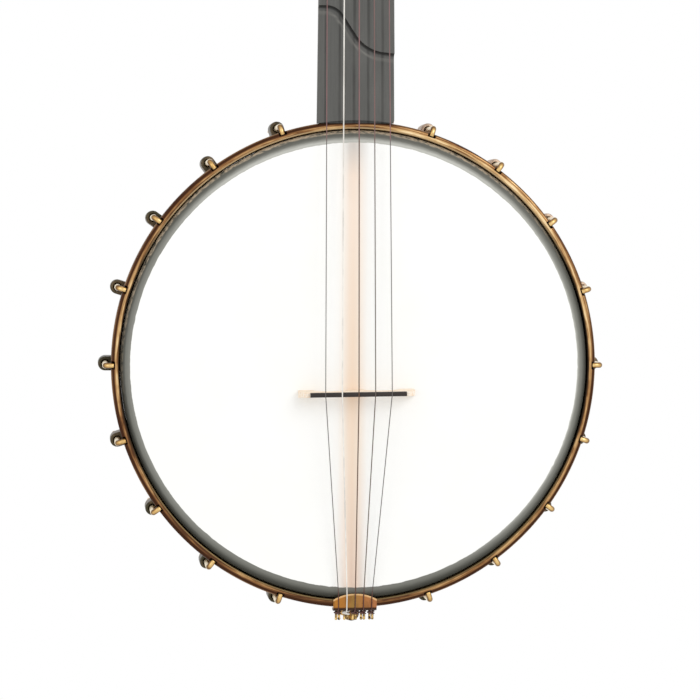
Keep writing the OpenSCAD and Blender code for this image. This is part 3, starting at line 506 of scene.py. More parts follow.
def turned(name, profile, matrix, sides, closed=False):
    """A piece turned about the z axis of a frame from points (radius, height)."""
    rings = [[matrix @ polar(radius, TAU * j / sides, height) for j in range(sides)]
             for radius, height in profile]
    return loft(name, rings, wrap=closed, caps=False)


def arc(centre, radius, start, end, steps):
    """Points on an arc in a plane, with angles in degrees."""
    turns = [math.radians(start + (end - start) * i / steps) for i in range(steps + 1)]
    return [(centre[0] + radius * math.cos(turn), centre[1] + radius * math.sin(turn))
            for turn in turns]


def rounded(x0, x1, y0, y1, radius):
    """A rectangle with rounded corners, as points in order."""
    left, right, bottom, top = x0 + radius, x1 - radius, y0 + radius, y1 - radius
    points = []
    for i, centre in enumerate(((right, bottom), (right, top), (left, top), (left, bottom))):
        points += arc(centre, radius, 90 * i - 90, 90 * i, 3)
    return points


def tube_rings(points, radii, sides):
    """Rings of a round wire along points, carried without twist; a radius for each point."""
    points = [Vector(point) for point in points]
    rings = []
    side = None
    for i, (point, radius) in enumerate(zip(points, radii)):
        along = (points[min(i + 1, len(points) - 1)] - points[max(i - 1, 0)]).normalized()
        if side is None:
            side = along.orthogonal().normalized()
        side = (side - along * side.dot(along)).normalized()
        other = along.cross(side)
        turns = [TAU * j / sides for j in range(sides)]
        rings.append([point + radius * (side * math.cos(turn) + other * math.sin(turn))
                      for turn in turns])
    return rings


def joined(name, *objects):
    """One piece from several, which are used up."""
    mesh = bpy.data.meshes.new(name)
    with Opened(mesh) as work:
        for obj in objects:
            work.from_mesh(obj.data)
            bpy.data.meshes.remove(obj.data)
    return link(name, mesh)


def settled(obj):
    """Turns an object's modifiers into its mesh."""
    bpy.context.view_layer.update()
    depsgraph = bpy.context.evaluated_depsgraph_get()
    mesh = bpy.data.meshes.new_from_object(obj.evaluated_get(depsgraph), depsgraph=depsgraph)
    obj.modifiers.clear()
    obj.data, old = mesh, obj.data
    bpy.data.meshes.remove(old)
    return obj


def carved(obj, *cutters):
    """Cuts other pieces out of an object and deletes them."""
    for cutter in cutters:
        cut = obj.modifiers.new("cut", "BOOLEAN")
        cut.operation, cut.solver, cut.object = "DIFFERENCE", "EXACT", cutter
    settled(obj)
    for cutter in cutters:
        bpy.data.meshes.remove(cutter.data)
    return obj


def rod(matrix, radius, start, end, sides):
    """A plain cylinder to cut with, along the z axis of a frame."""
    profile = [(0, start), (radius, start), (radius, end), (0, end)]
    return turned("cutter", profile, matrix, sides)


def block(matrix, half_x, half_y, start, end):
    """A plain block to cut with, about the z axis of a frame."""
    outline = ((-half_x, -half_y), (half_x, -half_y), (half_x, half_y), (-half_x, half_y))
    return loft("cutter", [[matrix @ Vector((x, y, z)) for x, y in outline]
                           for z in (start, end)])


def softened(obj, width, segments=2, limit=30):
    """Rounds an object's sharp edges."""
    bevel = obj.modifiers.new("edges", "BEVEL")
    bevel.width, bevel.segments, bevel.limit_method = width, segments, "ANGLE"
    bevel.angle_limit = math.radians(limit)
    return settled(obj)


def cleaned(obj):
    """Takes out faces without area."""
    with Opened(obj.data) as work:
        bmesh.ops.dissolve_degenerate(work, dist=MERGE, edges=work.edges)
    return obj


def flowing(obj, axis, width):
    """Rounds the shallow corners between an outline's walls, which run along an axis."""
    wall = 3 * MM       # a narrower face is an edge's rounding and not a wall

    def shallow(edge):
        along = (edge.verts[1].co - edge.verts[0].co).normalized().dot(axis)
        return (len(edge.link_faces) == 2 and abs(along) > 0.999
                and math.radians(2) < edge.calc_face_angle(0) < math.radians(30)
                and all(face.calc_area() > wall * edge.calc_length()
                        for face in edge.link_faces))

    with Opened(obj.data) as work:
        corners = [edge for edge in work.edges if shallow(edge)]
        bmesh.ops.bevel(work, geom=corners, offset=width, segments=4, profile=0.5,
                        affect="EDGES", clamp_overlap=True)
    return obj


def refined(node, width, segments=2):
    """A copy of a CAD node with whole faces and rounded edges."""
    mesh = frame["nodes"][node].data.copy()
    with Opened(mesh) as work:
        bmesh.ops.remove_doubles(work, verts=work.verts, dist=2 * MERGE)
        bmesh.ops.dissolve_limit(work, angle_limit=math.radians(0.5), verts=work.verts,
                                 edges=work.edges)
    layers = [layer.name for layer in mesh.attributes
              if layer.name in ("custom_normal", "sharp_edge")]
    for name in layers:
        mesh.attributes.remove(mesh.attributes[name])
    obj = link("finished_" + node, mesh)
    return softened(obj, width, segments) if width else obj


def dress(obj, finish, *nodes, body=BODY, slot=None, sharp=38):
    """Gives a piece its finish, its body and the CAD nodes that it stands for."""
    obj.data.materials.clear()
    obj.data.materials.append(FINISH[finish])
    for face in obj.data.polygons:
        face.material_index = 0
    obj.data.shade_smooth()
    obj.data.set_sharp_from_angle(angle=math.radians(sharp))
    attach(obj, body)
    if nodes:
        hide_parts(*nodes)
    return obj


def finished(node, finish, width, segments=2, **looks):
    """Dresses a copy of one CAD node, with its edges rounded."""
    return dress(refined(node, width, segments), finish, node, **looks)


class Neck:
    """Places along the neck, worked out from its sizes."""

    step_long = 18 * MM     # length of the bass side's step for the fifth string
    step_rise = 0.8 * MM    # how much wider the neck is at the step than at the nut

    def __init__(self):
        self.size = size = sizes("neck")
        tuner = sizes("tuner")
        self.board_long = (size.scale - size.bridge_down - size.joint) / math.cos(size.tilt)
        fifth_fret = size.scale * 2 ** (-5 / 12) - size.bridge_down
        self.fifth = (fifth_fret - size.joint) / math.cos(size.tilt)
        self.step = self.fifth + tuner.fifth_up + tuner.fifth_body / 2
        self.board = (POT @ Matrix.Translation((0, size.joint, size.face))
                      @ Matrix.Rotation(-size.tilt, 4, "X"))

    def treble(self, y):
        """The board's treble edge."""
        return lerp(self.size.treble_pot, self.size.treble_nut, y / self.board_long)

    def bass(self, y):
        """The board's bass edge, which steps in above the fifth peg."""
        size = self.size
        wide = -lerp(size.bass_pot, size.bass_fifth,
                     min(y, self.step + self.step_long) / self.fifth)
        narrow = -lerp(size.bass_nut + self.step_rise, size.bass_nut,
                       (y - self.step) / (self.board_long - self.step))
        return lerp(wide, narrow, smooth((y - self.step) / self.step_long))

    def foot(self, x):
        """The board's foot, which follows the hoop."""
        return math.sqrt(self.size.joint ** 2 - x * x) - self.size.joint


# ---- finishes


def make_hoop_brass():
    """Old brass with a painted highlight line round its face, painted light on its upper right, a
    brown outer edge that is partly tarnish and partly painted shade, and streaks round the hoop.
    """
    pot, colour = sizes("pot"), sizes("colour")
    graph = start_finish("hoop_brass", metallic=0.8, roughness=0.36)
    radius, depth, across, up = graph.around(graph.place())
    streaks = graph.noise(graph.join(across * 8, radius * 1300, depth * 160 + up * 8),
                          1.0, 4, 0.62, 0.6)
    sway = streaks - 0.5
    patches = graph.noise(graph.join(across, 0.3, up), 3.4, 4, 0.62)
    # patches of tone with a faint painted light that grows upward and fades to the right
    tone_and_painted_light = up * 0.02 - across * 0.045 + patches
    out, hollow = pot.hoop_radius, pot.hoop_radius - pot.hoop_wall
    # a painted highlight runs round the face as a pale line, nearer to one edge or the other
    wander, middle = 3 * MM, hollow + 2 * MM
    line = abs((patches - 0.5) * wander + radius - middle)
    glint = graph.ease(line, 1.6 * MM, 0.2 * MM, -0.24, 0.0)
    # painted shade above on the left and all along the bottom, painted light above on the right
    bright = graph.ease(across + up, 0.95, 1.25)
    glint = glint + graph.ease(abs(up) - across * 0.5, 0.75, 1.0, 0.0, -0.15) + bright * 0.12
    face = graph.ramp(sway * 0.95 + tone_and_painted_light + glint, (0.22, linear(84, 52, 30)),
                      (0.38, linear(136, 94, 54)), (0.5, colour.brass),
                      (0.62, linear(216, 180, 126)), (0.78, linear(250, 226, 182)))
    # the brown outer edge, partly tarnish and partly painted shade on its rounding, narrower
    # under the painted light; paler here and there near the rim
    ragged, narrower = 1.3 * MM, 1.2 * MM
    wobble = sway * ragged + radius
    face = graph.lay(face, colour.brass_tarnish_and_shade, wobble - bright * narrower,
                     out - 2.5 * MM, out - 1.7 * MM)
    wear_and_sheen = graph.ease(radius, out - 1.1 * MM, out - 0.2 * MM) * graph.ease(patches, 0.4, 0.56)
    face = graph.mix(wear_and_sheen * 0.7, face, linear(150, 112, 74))
    # the inner edge is olive tarnish, with painted shade at the sides and painted light at the
    # top
    edge = graph.lay(colour.brass_olive, linear(46, 32, 16), abs(across), 0.8, 0.97)
    edge = graph.lay(edge, linear(196, 168, 126), up, 0.4, 0.75, 0.0, 0.9)
    face = graph.lay(face, edge, wobble, hollow + 1.3 * MM, hollow + 0.5 * MM)
    # painted shade in the notches
    face = graph.lay(face, linear(58, 32, 14), graph.attribute("notch"), 0.3, 1.0)
    graph.paint(face, streaks, strength=0.25, deep=0.15 * MM,
                rough=graph.ease(streaks, 0.3, 0.7, 0.5, 0.28))


def make_shoe_brass():
    """Dark olive brass, with a painted pale highlight on the pot's upper right."""
    graph = start_finish("shoe_brass", metallic=0.8, roughness=0.4)
    place = graph.place()
    _, _, across, up = graph.around(place)
    patches = graph.noise(place, 60, 3, 0.6)
    fine = graph.noise(place, (700, 260, 700), 3, 0.6)
    face = graph.lay(sizes("colour").shoe_bronze, linear(64, 60, 44), patches, 0.4, 0.6)
    face = graph.lay(face, linear(46, 34, 24), fine, 0.5, 0.7, 0.0, 0.6)
    # a painted highlight on the upper right, broken up by fine noise
    wear_and_sheen = graph.ease(across + up, 0.9, 1.35) * graph.ease(fine, 0.3, 0.5, 0.4, 0.9)
    graph.paint(graph.mix(wear_and_sheen, face, linear(196, 172, 152)), fine, strength=0.15,
                deep=0.06 * MM)


def make_hook_brass():
    """Brass with painted light on faces toward the front, painted shade on the sides, and a
    painted pale highlight on the shank from the shoe up to the bend.
    """
    hook = sizes("hook")
    graph = start_finish("round_brass", metallic=0.75, roughness=0.3)
    place = graph.place()
    facing = graph.parts(graph.add("ShaderNodeTexCoord").outputs["Normal"])
    clouds = graph.noise(place, 260, 3, 0.6)
    # painted light and shade by the way a face turns: pale toward the front, brown on the sides
    front = (clouds - 0.5) * 0.7 - facing[1]
    brass = graph.ramp(front, (0.1, linear(84, 56, 28)), (0.6, linear(128, 92, 48)),
                       (0.82, sizes("colour").hook_gold), (1.15, linear(248, 218, 156)))
    # a painted pale highlight on the shank between the shoe and the bend
    height = -graph.parts(place)[1]
    bend_at = hook.front - hook.wire / 2 - hook.bend
    shank = (graph.ease(height, hook.shoe_back, hook.shoe_front - 2 * MM)
             * graph.ease(height, bend_at + 2 * MM, bend_at + MM))
    graph.paint(graph.mix(shank, brass, linear(244, 228, 194)), clouds, strength=0.12,
                deep=0.05 * MM)


def make_brass(name, face, dark, roughness, spread=1.0):
    """Brass with tarnish in soft patches and fine scratches."""
    graph = start_finish(name, metallic=0.9, roughness=roughness)
    place = graph.place()
    patches = graph.noise(place, 140 * spread, 4, 0.6, 0.3)
    fine = graph.noise(place, (900, 2600, 900), 2, 0.5)
    shade = graph.lay(face, dark, patches, 0.46, 0.7)
    shade = graph.lay(shade, dark, fine, 0.5, 0.72, 0.0, 0.35)
    graph.paint(shade, fine, strength=0.12, deep=0.05 * MM,
                rough=graph.ease(patches, 0.3, 0.7, roughness - 0.06, roughness + 0.14))


def make_wood(name, light, dark, run, roughness=0.42):
    """Oiled wood, with its grain along x or z or round the pot."""
    graph = start_finish(name, roughness=roughness)
    place = graph.place()
    if run == "round":
        radius, depth, across, up = graph.around(place)
        along = graph.join(across * 5, radius * 900, depth * 420 + up * 5)
    else:
        along = graph.stretch(place, (18, 520, 520) if run == "x" else (420, 420, 14))
    figure = graph.noise(along, 1.0, 4, 0.6, 0.5)
    wide = graph.noise(along, 0.16, 2, 0.5, 1.2)
    pores = graph.noise(along, 3.1, 1, 0.5)
    shade = graph.lay(light, dark, figure, 0.34, 0.7)
    shade = graph.lay(shade, dark, wide, 0.4, 0.66, 0.0, 0.4)
    shade = graph.lay(shade, shaded(dark, 0.45), pores, 0.62, 0.72, 0.0, 0.5)
    graph.paint(shade, pores, strength=0.2, deep=0.06 * MM,
                rough=graph.ease(figure, 0.3, 0.7, roughness - 0.06, roughness + 0.1))


def make_head():
    """White skin with the dowel stick's glow and the tone ring's shade painted on as soft bands.
    """
    pot, colour = sizes("pot"), sizes("colour")
    graph = start_finish("head_skin", roughness=0.42, specular_ior_level=0.25)
    place = graph.place()
    radius, depth, across, up = graph.around(place)
    x, _, z = graph.parts(place)
    cloud = graph.noise(place, 24, 4, 0.6)
    skin = graph.lay(colour.head, linear(249, 249, 244), cloud, 0.3, 0.7, 0.0, 0.35)
    # painted glow of the dowel stick through the head, strongest along its middle, fading to its
    # sides and greyer at its upper end
    aside, uneven = 2.4 * MM, 3 * MM
    off = abs(x + aside) + (graph.noise(place, (60, 60, 9), 2) - 1 / 3) * uneven
    wood = graph.ramp(z, (-0.14, linear(236, 210, 190)), (-0.06, colour.dowel_band),
                      (0.02, colour.dowel_band), (0.1, linear(249, 231, 214)),
                      (0.123, linear(246, 227, 210)), (0.142, linear(214, 206, 198)))
    half = high("dowel_stick", 0)
    glow = graph.ramp(off, *[(share * half, [pale] * 3) for share, pale in
                             ((0, 1), (0.3, 0.88), (0.7, 0.4), (1, 0.1), (1.35, 0))])
    front = graph.ease(depth, 0.3 * MM - pot.head_front, 0.1 * MM - pot.head_front)
    skin = graph.mix(front * glow, skin, wood)
    # the tone ring's painted shade starts a little further in at the top and at the bottom
    start, wider, higher = pot.rim_radius - 7.55 * MM, 1.55 * MM, 0.35 * MM
    inner = across * across * wider + start - up * higher
    share = (radius - inner) / (pot.rim_radius + 0.45 * MM - inner)
    streaks = graph.noise(graph.join(across * 30, radius * 1200, up * 30), 1.0, 3, 0.6)
    share = (streaks - 0.5) * 0.14 + share

    def fall(*greys):
        """Greys from the inside of the tone ring's shade to the head's edge."""
        places = (0.06, 0.18, 0.33, 0.48, 0.62, 0.76, 0.88, 1.0)
        return graph.ramp(share, *[(at, linear(grey, grey, grey - 7))
                                   for at, grey in zip(places, greys)])

    lower = fall(118, 118, 108, 88, 70, 54, 66, 76)
    right = fall(186, 150, 127, 115, 92, 74, 80, 100)
    left = fall(136, 132, 121, 114, 83, 58, 54, 84)
    upper = fall(186, 192, 154, 110, 90, 92, 84, 70)
    # the painted shade is lighter on the right and above, as if lit from the upper right
    shade = graph.lay(lower, right, across, 0.3, 0.95)
    shade = graph.lay(shade, left, across, -0.3, -0.9)
    shade = graph.lay(shade, upper, up, 0.45, 0.92)
    # pale spots on the lip above and on the left
    spots = graph.noise(graph.join(across * 46, radius * 900, up * 46), 1.0, 2, 0.5)
    lip = (graph.ease(share, 0.68, 0.8) * graph.ease(spots, 0.3, 0.62)
           * graph.ease(up - across * 0.3, 0.0, 0.8))
    shade = graph.mix(lip, shade, linear(172, 156, 134))
    graph.paint(graph.lay(skin, shade, share, 0.0, 0.05), cloud, strength=0.05, deep=0.1 * MM)


def make_board():
    """Charcoal board with long streaks along its length, painted string shadows, and a painted
    shadow and highlight along the scoop.
    """
    colour, string, neck = sizes("colour"), sizes("string"), sizes("neck")
    graph = start_finish("fingerboard", roughness=0.5, specular_ior_level=0.35)
    place = graph.place()
    x, _, z = graph.parts(place)
    wear_and_sheen = graph.noise(place, (1100, 700, 22), 3, 0.6)
    soft = graph.noise(place, (60, 60, 26), 3, 0.55)
    shade = graph.lay(colour.board, shaded(colour.board, 0.7), wear_and_sheen, 0.3, 0.75, 0.0, 0.45)
    shade = graph.lay(shade, shaded(colour.board, 1.3), soft, 0.48, 0.75, 0.0, 0.4)
    # painted shadows of the strings on their bass side, which fade out at the nut
    closer, aside, wide, core = 0.93, 2.5 * MM, 1.4 * MM, 0.3 * MM
    narrowing = (string.nut_space - string.bridge_space) / neck.scale
    spread = (z + neck.bridge_down) * narrowing + string.bridge_space
    string_shadows = 0.0
    for side in (2, 1, 0, -1, -2):
        off = abs(x - (spread * (closer * side) - aside))
        string_shadows = graph.math("MAXIMUM", string_shadows, graph.ease(off, wide, core))
    nut = neck.scale - neck.bridge_down
    string_shadows = (string_shadows * graph.ease(z, nut - 20 * MM, nut, 1.0, 0.15)
              * graph.ease(soft, 0.2, 0.6, 0.8, 0.4))
    shade = graph.mix(string_shadows, shade, linear(34, 32, 30))
    # painted shadow at the foot of the scoop's wall, and a painted highlight a little below it
    tone_and_painted_light = graph.attribute("scoop")
    shade = graph.lay(shade, linear(16, 14, 12), tone_and_painted_light, 0.1, 1.0, 0.0, 0.85)
    shade = graph.lay(shade, linear(138, 136, 130), tone_and_painted_light, -0.1, -1.0, 0.0, 0.5)
    graph.paint(shade, wear_and_sheen, strength=0.12, deep=0.05 * MM)


def make_tailpiece():
    """Golden brass plate with a pale front rim, painted shade on its bend and painted highlights
    on the prongs' tips.
    """
    graph = start_finish("tail_brass", metallic=0.7, roughness=0.38)
    place = graph.place()
    x, y, z = graph.parts(place)
    half = (high("tailpiece", 0) - low("tailpiece", 0)) / 2
    back, reach = high("tailpiece", 1), high("tailpiece", 2)
    clouds = graph.noise(place, (420, 200, 90), 4, 0.6)
    face = graph.ramp(x, (-half, linear(182, 120, 46)), (-0.5 * half, linear(172, 112, 46)),
                      (-0.1 * half, linear(154, 118, 58)), (0.4 * half, linear(172, 114, 62)),
                      (half, linear(176, 112, 70)))
    face = graph.lay(face, linear(118, 78, 40), clouds, 0.42, 0.7, 0.0, 0.55)
    # the pale rim follows the bow of the front edge, which rises so far in its middle
    rise = 3.9 * MM
    bow = (half * half + rise * rise) / (2 * rise)
    off = graph.far(x, z - (reach - bow))
    face = graph.lay(face, linear(236, 196, 140), off, bow - 1.3 * MM, bow - 0.5 * MM, 0.0, 0.7)
    # painted shade on the bend down over the hoop
    bend = -high("tension_hoop", 0)
    face = graph.lay(face, linear(52, 28, 14), z, bend + 0.9 * MM, bend - 0.4 * MM)
    # painted highlights on the prongs' tips, in spots
    spots = graph.noise(place, (900, 900, 500), 2, 0.5)
    tips = (graph.ease(z, bend - 4 * MM, bend - 6 * MM) * graph.ease(spots, 0.4, 0.58)
            * graph.ease(y, back - 10 * MM, back - 12 * MM))
    graph.paint(graph.mix(tips, face, linear(226, 190, 120)), clouds, strength=0.1,
                deep=0.05 * MM)


def make_moulded(name, face, other, roughness, scale, coat=0.0):
    """Bone or ivoroid, with soft clouds and fine lines."""
    graph = start_finish(name, roughness=roughness, coat_weight=coat)
    place = graph.place()
    clouds = graph.noise(place, scale, 4, 0.55, 1.5)
    lines = graph.noise(place, (scale * 9, scale, scale * 2), 2, 0.5, 0.6)
    shade = graph.lay(face, other, clouds, 0.35, 0.68, 0.0, 0.7)
    shade = graph.lay(shade, other, lines, 0.55, 0.7, 0.0, 0.3)
    graph.paint(shade, clouds, strength=0.04, deep=0.1 * MM)


def make_string(name, face, board_tint=None):
    """Smooth string; one given a board tint takes that colour over the board and turns darker
    over the tailpiece.
    """
    graph = start_finish(name, roughness=0.35)
    place = graph.place()
    along = graph.noise(place, 60, 3, 0.6)
    shade = face
    if board_tint:
        z = graph.parts(place)[2]
        ring = sizes("pot").rim_radius - sizes("pot").ring_wire
        shade = graph.lay(shade, board_tint, z, ring - 2 * MM, ring + 2 * MM)
        shade = graph.lay(shade, linear(82, 36, 26), z, 4 * MM - ring, -4 * MM - ring)
    graph.paint(graph.lay(shade, linear(96, 84, 76), along, 0.35, 0.7, 0.0, 0.3))


class BANJO_OT_finishes(bpy.types.Operator):
    """Make every finish of the banjo"""

    bl_idname = "banjo.finishes"
    bl_label = "Finishes"

    def execute(self, context):
        colour = sizes("colour")
        make_hoop_brass()
        make_hook_brass()
        make_shoe_brass()
        for name, face, dark, *looks in (
                ("aged_brass", colour.brass, linear(104, 74, 42), 0.36),
                ("hook_brass", colour.hook_gold, linear(176, 136, 66), 0.26, 0.6),
                ("bolt_brass", linear(158, 112, 48), linear(52, 36, 14), 0.26, 2.0),
                ("flesh_steel", linear(96, 96, 90), linear(46, 46, 42), 0.42),
                ("tuner_metal", linear(190, 162, 108), linear(118, 94, 54), 0.3, 0.6)):
            make_brass(name, face, dark, *looks)
        for name, light, dark, *looks in (
                ("rim_wood", colour.maple, linear(190, 140, 88), "round"),
                ("neck_wood", colour.neck_wood, linear(130, 82, 40), "z"),
                ("dowel_wood", linear(222, 180, 128), linear(188, 140, 88), "z"),
                ("bridge_wood", linear(254, 244, 230), linear(246, 222, 194), "x", 0.5),
                ("ebony", colour.ebony, linear(28, 22, 20), "x", 0.6)):
            make_wood(name, light, dark, *looks)
        make_head()
        make_board()
        make_moulded("bone", colour.bone, linear(222, 208, 176), 0.34, 160)
        make_moulded("button_ivory", colour.ivory, linear(214, 190, 142), 0.22, 90, 0.4)
        make_tailpiece()
        red = linear(138, 98, 98)
        make_string("string_grey", colour.string_outer, red)
        make_string("string_brown", colour.string_second, linear(124, 92, 88))
        make_string("string_red", colour.string_third, red)
        make_string("string_white", colour.string_fourth)
        return {"FINISHED"}


# ---- rings of like pieces


def ring_tree():
    """Copies of a piece round the pot's axis, each turned about its own shank."""
    tree = bpy.data.node_groups.get("round_the_pot")
    if tree:
        return tree
    tree = bpy.data.node_groups.new("round_the_pot", "GeometryNodeTree")
    graph = Graph(tree)
    for name, kind, default in (("Geometry", "Geometry", None), ("Places", "Int", 20),
                                ("Radius", "Float", 0.16), ("Twist", "Float", 0.0),
                                ("Seed", "Int", 1), ("Finish", "Material", None)):
        socket = tree.interface.new_socket(name, in_out="INPUT", socket_type="NodeSocket" + kind)
        if default is not None:
            socket.default_value = default
    tree.interface.new_socket("Geometry", in_out="OUTPUT", socket_type="NodeSocketGeometry")
    given = graph.add("NodeGroupInput").outputs
    index = Value(graph, graph.add("GeometryNodeInputIndex").outputs[0])
    points = graph.add("GeometryNodePoints", {"Count": given["Places"]})
    # the neck and the tailpiece leave out the first place and the one across from it
    taken = graph.math("MODULO", index, graph.math("DIVIDE", given["Places"], 2))
    copies = graph.add("GeometryNodeInstanceOnPoints", {
        "Points": points, "Selection": taken, "Instance": given["Geometry"],
        "Rotation": graph.join(0, index * TAU / given["Places"], 0)})
    back = graph.math("MULTIPLY", given["Twist"], -1)
    twist = graph.add("FunctionNodeRandomValue", {2: back, 3: given["Twist"],
                                                  "Seed": given["Seed"]}, data_type="FLOAT")
    twisted = graph.add("GeometryNodeRotateInstances", {
        "Instances": copies, "Rotation": graph.join(0, twist.outputs[1], 0),
        "Pivot Point": graph.join(0, 0, given["Radius"])})
    plain = graph.add("GeometryNodeRealizeInstances", {0: twisted})
    done = graph.add("GeometryNodeSetMaterial", {"Geometry": plain, "Material": given["Finish"]})
    graph.add("NodeGroupOutput", {0: done})
    return tree


def shank_radius():
    """Distance of the hooks' shanks from the pot's axis."""
    return high("hooks", 0) - sizes("hook").wire / 2


def shank_frame():
    """Frame on the shank of the hook at twelve o'clock, with z out of the head."""
    return POT @ Matrix.Translation((0, shank_radius(), 0))


def screw_frame(away, turn):
    """Frame on the screw at twelve o'clock, so far from the axis; a turn of 90 faces inwards."""
    hook = sizes("hook")
    return (POT @ Matrix.Translation((0, away, (hook.shoe_front + hook.shoe_back) / 2))
            @ Matrix.Rotation(math.radians(turn), 4, "X"))


def round_the_pot(obj, name, finish, node, twist=0.0, seed=1, slot=None):
    """A ring of one piece, which is made at twelve o'clock, as one plain mesh."""
    values = {"Places": sizes("pot").places, "Radius": shank_radius(), "Twist": twist,
              "Seed": seed, "Finish": FINISH[finish]}
    modifier = obj.modifiers.new("ring", "NODES")
    modifier.node_group = ring_tree()
    for item in modifier.node_group.interface.items_tree:
        if item.in_out == "INPUT" and item.name in values:
            modifier[item.identifier] = values[item.name]
    settled(obj)
    obj.name = obj.data.name = name
    return dress(obj, finish, node, slot=slot)


# ---- the pot


class BANJO_OT_head(bpy.types.Operator):
    """Stretch the head over the tone ring"""

    bl_idname = "banjo.head"
    bl_label = "Head"

    def execute(self, context):
        pot = sizes("pot")
        face, skin = pot.head_front, pot.head_skin
        outer = pot.ring_wire / 2 + skin + CLEAR
        inner = outer - skin
        turn_at = pot.rim_radius - pot.ring_wire / 2
        centre = (turn_at, face - outer)
        end, lip, taper = -high("head", 1), 0.2 * MM, 0.1 * MM
        # points on the flat face, close to one another only near its edge
        outside = [(radius, face) for radius in (0, 0.05, 0.1, 0.135, 0.143)]
        outside += arc(centre, outer, 90, 0, 15)
        outside += [(turn_at + outer, end + lip), (turn_at + outer - taper, end)]
        inside = [(turn_at + inner + taper, end), (turn_at + inner, end + lip)]
        inside += arc(centre, inner, 0, 90, 15)
        inside += [(radius, face - skin) for radius in (0.14, 0.08, 0)]
        dress(turned("stretched_head", outside + inside, POT, ROUND), "head_skin", "head")
        return {"FINISHED"}


class BANJO_OT_hoops(bpy.types.Operator):
    """Notched tension hoop, flesh hoop and tone ring"""

    bl_idname = "banjo.hoops"
    bl_label = "Hoops"

    def execute(self, context):
        self.tension_hoop()
        pot = sizes("pot")
        wire = pot.ring_wire / 2
        centre = (-low("tone_ring", 0) - wire, -(low("tone_ring", 1) + high("tone_ring", 1)) / 2)
        ring = turned("rolled_ring", arc(centre, wire, 0, 345, 23), POT, ROUND, closed=True)
        dress(ring, "aged_brass", "tone_ring")
        outer = high("flesh_hoop", 0)
        band = rounded(outer - pot.flesh_wall, outer, -high("flesh_hoop", 1),
                       -low("flesh_hoop", 1), pot.hoop_edge)
        dress(turned("head_hoop", band, POT, ROUND, closed=True), "flesh_steel", "flesh_hoop")
        return {"FINISHED"}

    def section(self, floor):
        """Section of the hoop; a floor is where a notch cuts down its outer corner."""
        pot = sizes("pot")
        out, edge, turn = pot.hoop_radius, pot.hoop_edge, pot.hoop_round
        front, back = pot.hoop_front, pot.hoop_back
        hollow, shelf = out - pot.hoop_wall, out - pot.notch_reach
        lip, soft = 0.3 * MM, 0.25 * MM
        points = arc((hollow + edge, back + edge), edge, 180, 270, 3)
        points += arc((out - edge, back + edge), edge, 270, 360, 3)
        if floor is None:
            points += arc((out - turn, front - turn), turn, 0, 90, 5)
            points += [(shelf, front)]
        else:
            points += [(out, floor - lip)] + [(out - i * lip, floor) for i in range(1, 5)]
            points += [(shelf, floor), (shelf, front - soft)]
        points += [(shelf - soft, front), (shelf - 0.8 * MM, front)]
        return points + arc((hollow + edge, front - edge), edge, 90, 180, 3)

    def tension_hoop(self):
        """The hoop, section by section, with a round-bottomed notch under each hook."""
        pot, hook = sizes("pot"), sizes("hook")
        notch_steps, free_steps = 12, 14
        half, out = pot.notch_width / 2, pot.hoop_radius
        middle = hook.front - hook.wire / 2
        step = TAU / pot.places
        opposite = pot.places // 2
        start = (half + 0.5 * MM) / out
        stations = []
        for place in range(pot.places):
            centre = place * step
            if place % opposite:
                stations += [(centre - half / out, None), (centre + half / out, None)]
                for i in range(notch_steps + 1):
                    across = half * math.sin(math.pi * (i / notch_steps - 0.5))
                    floor = middle - math.sqrt(max(half * half - across * across, 0))
                    stations.append((centre + across / out, floor))
            else:
                stations.append((centre, None))
            stations += [(centre + start + (step - 2 * start) * i / free_steps, None)
                         for i in range(free_steps + 1)]
        # at one and the same turn the whole section comes before a notch's wall
        stations.sort(key=lambda station: (round(station[0], 6), station[1] is not None))
        rings = [[POT @ Vector((radius * math.sin(turn), radius * math.cos(turn), height))
                  for radius, height in self.section(floor)] for turn, floor in stations]
        hoop = cleaned(loft("notched_hoop", rings, wrap=True))
        # the finish gets a painted shade in the notches
        shade = hoop.data.attributes.new("notch", "FLOAT", "POINT")
        for point, value in zip(hoop.data.vertices, shade.data):
            place = math.atan2(point.co.x, point.co.z) / step
            off = abs(place - round(place)) * step * out
            radius = math.hypot(point.co.x, point.co.z)
            value.value = float(off < half + 0.1 * MM and round(place) % opposite != 0
                                and radius > out - pot.notch_reach - 0.3 * MM)
        dress(hoop, "hoop_brass", "tension_hoop", slot="aged_brass")


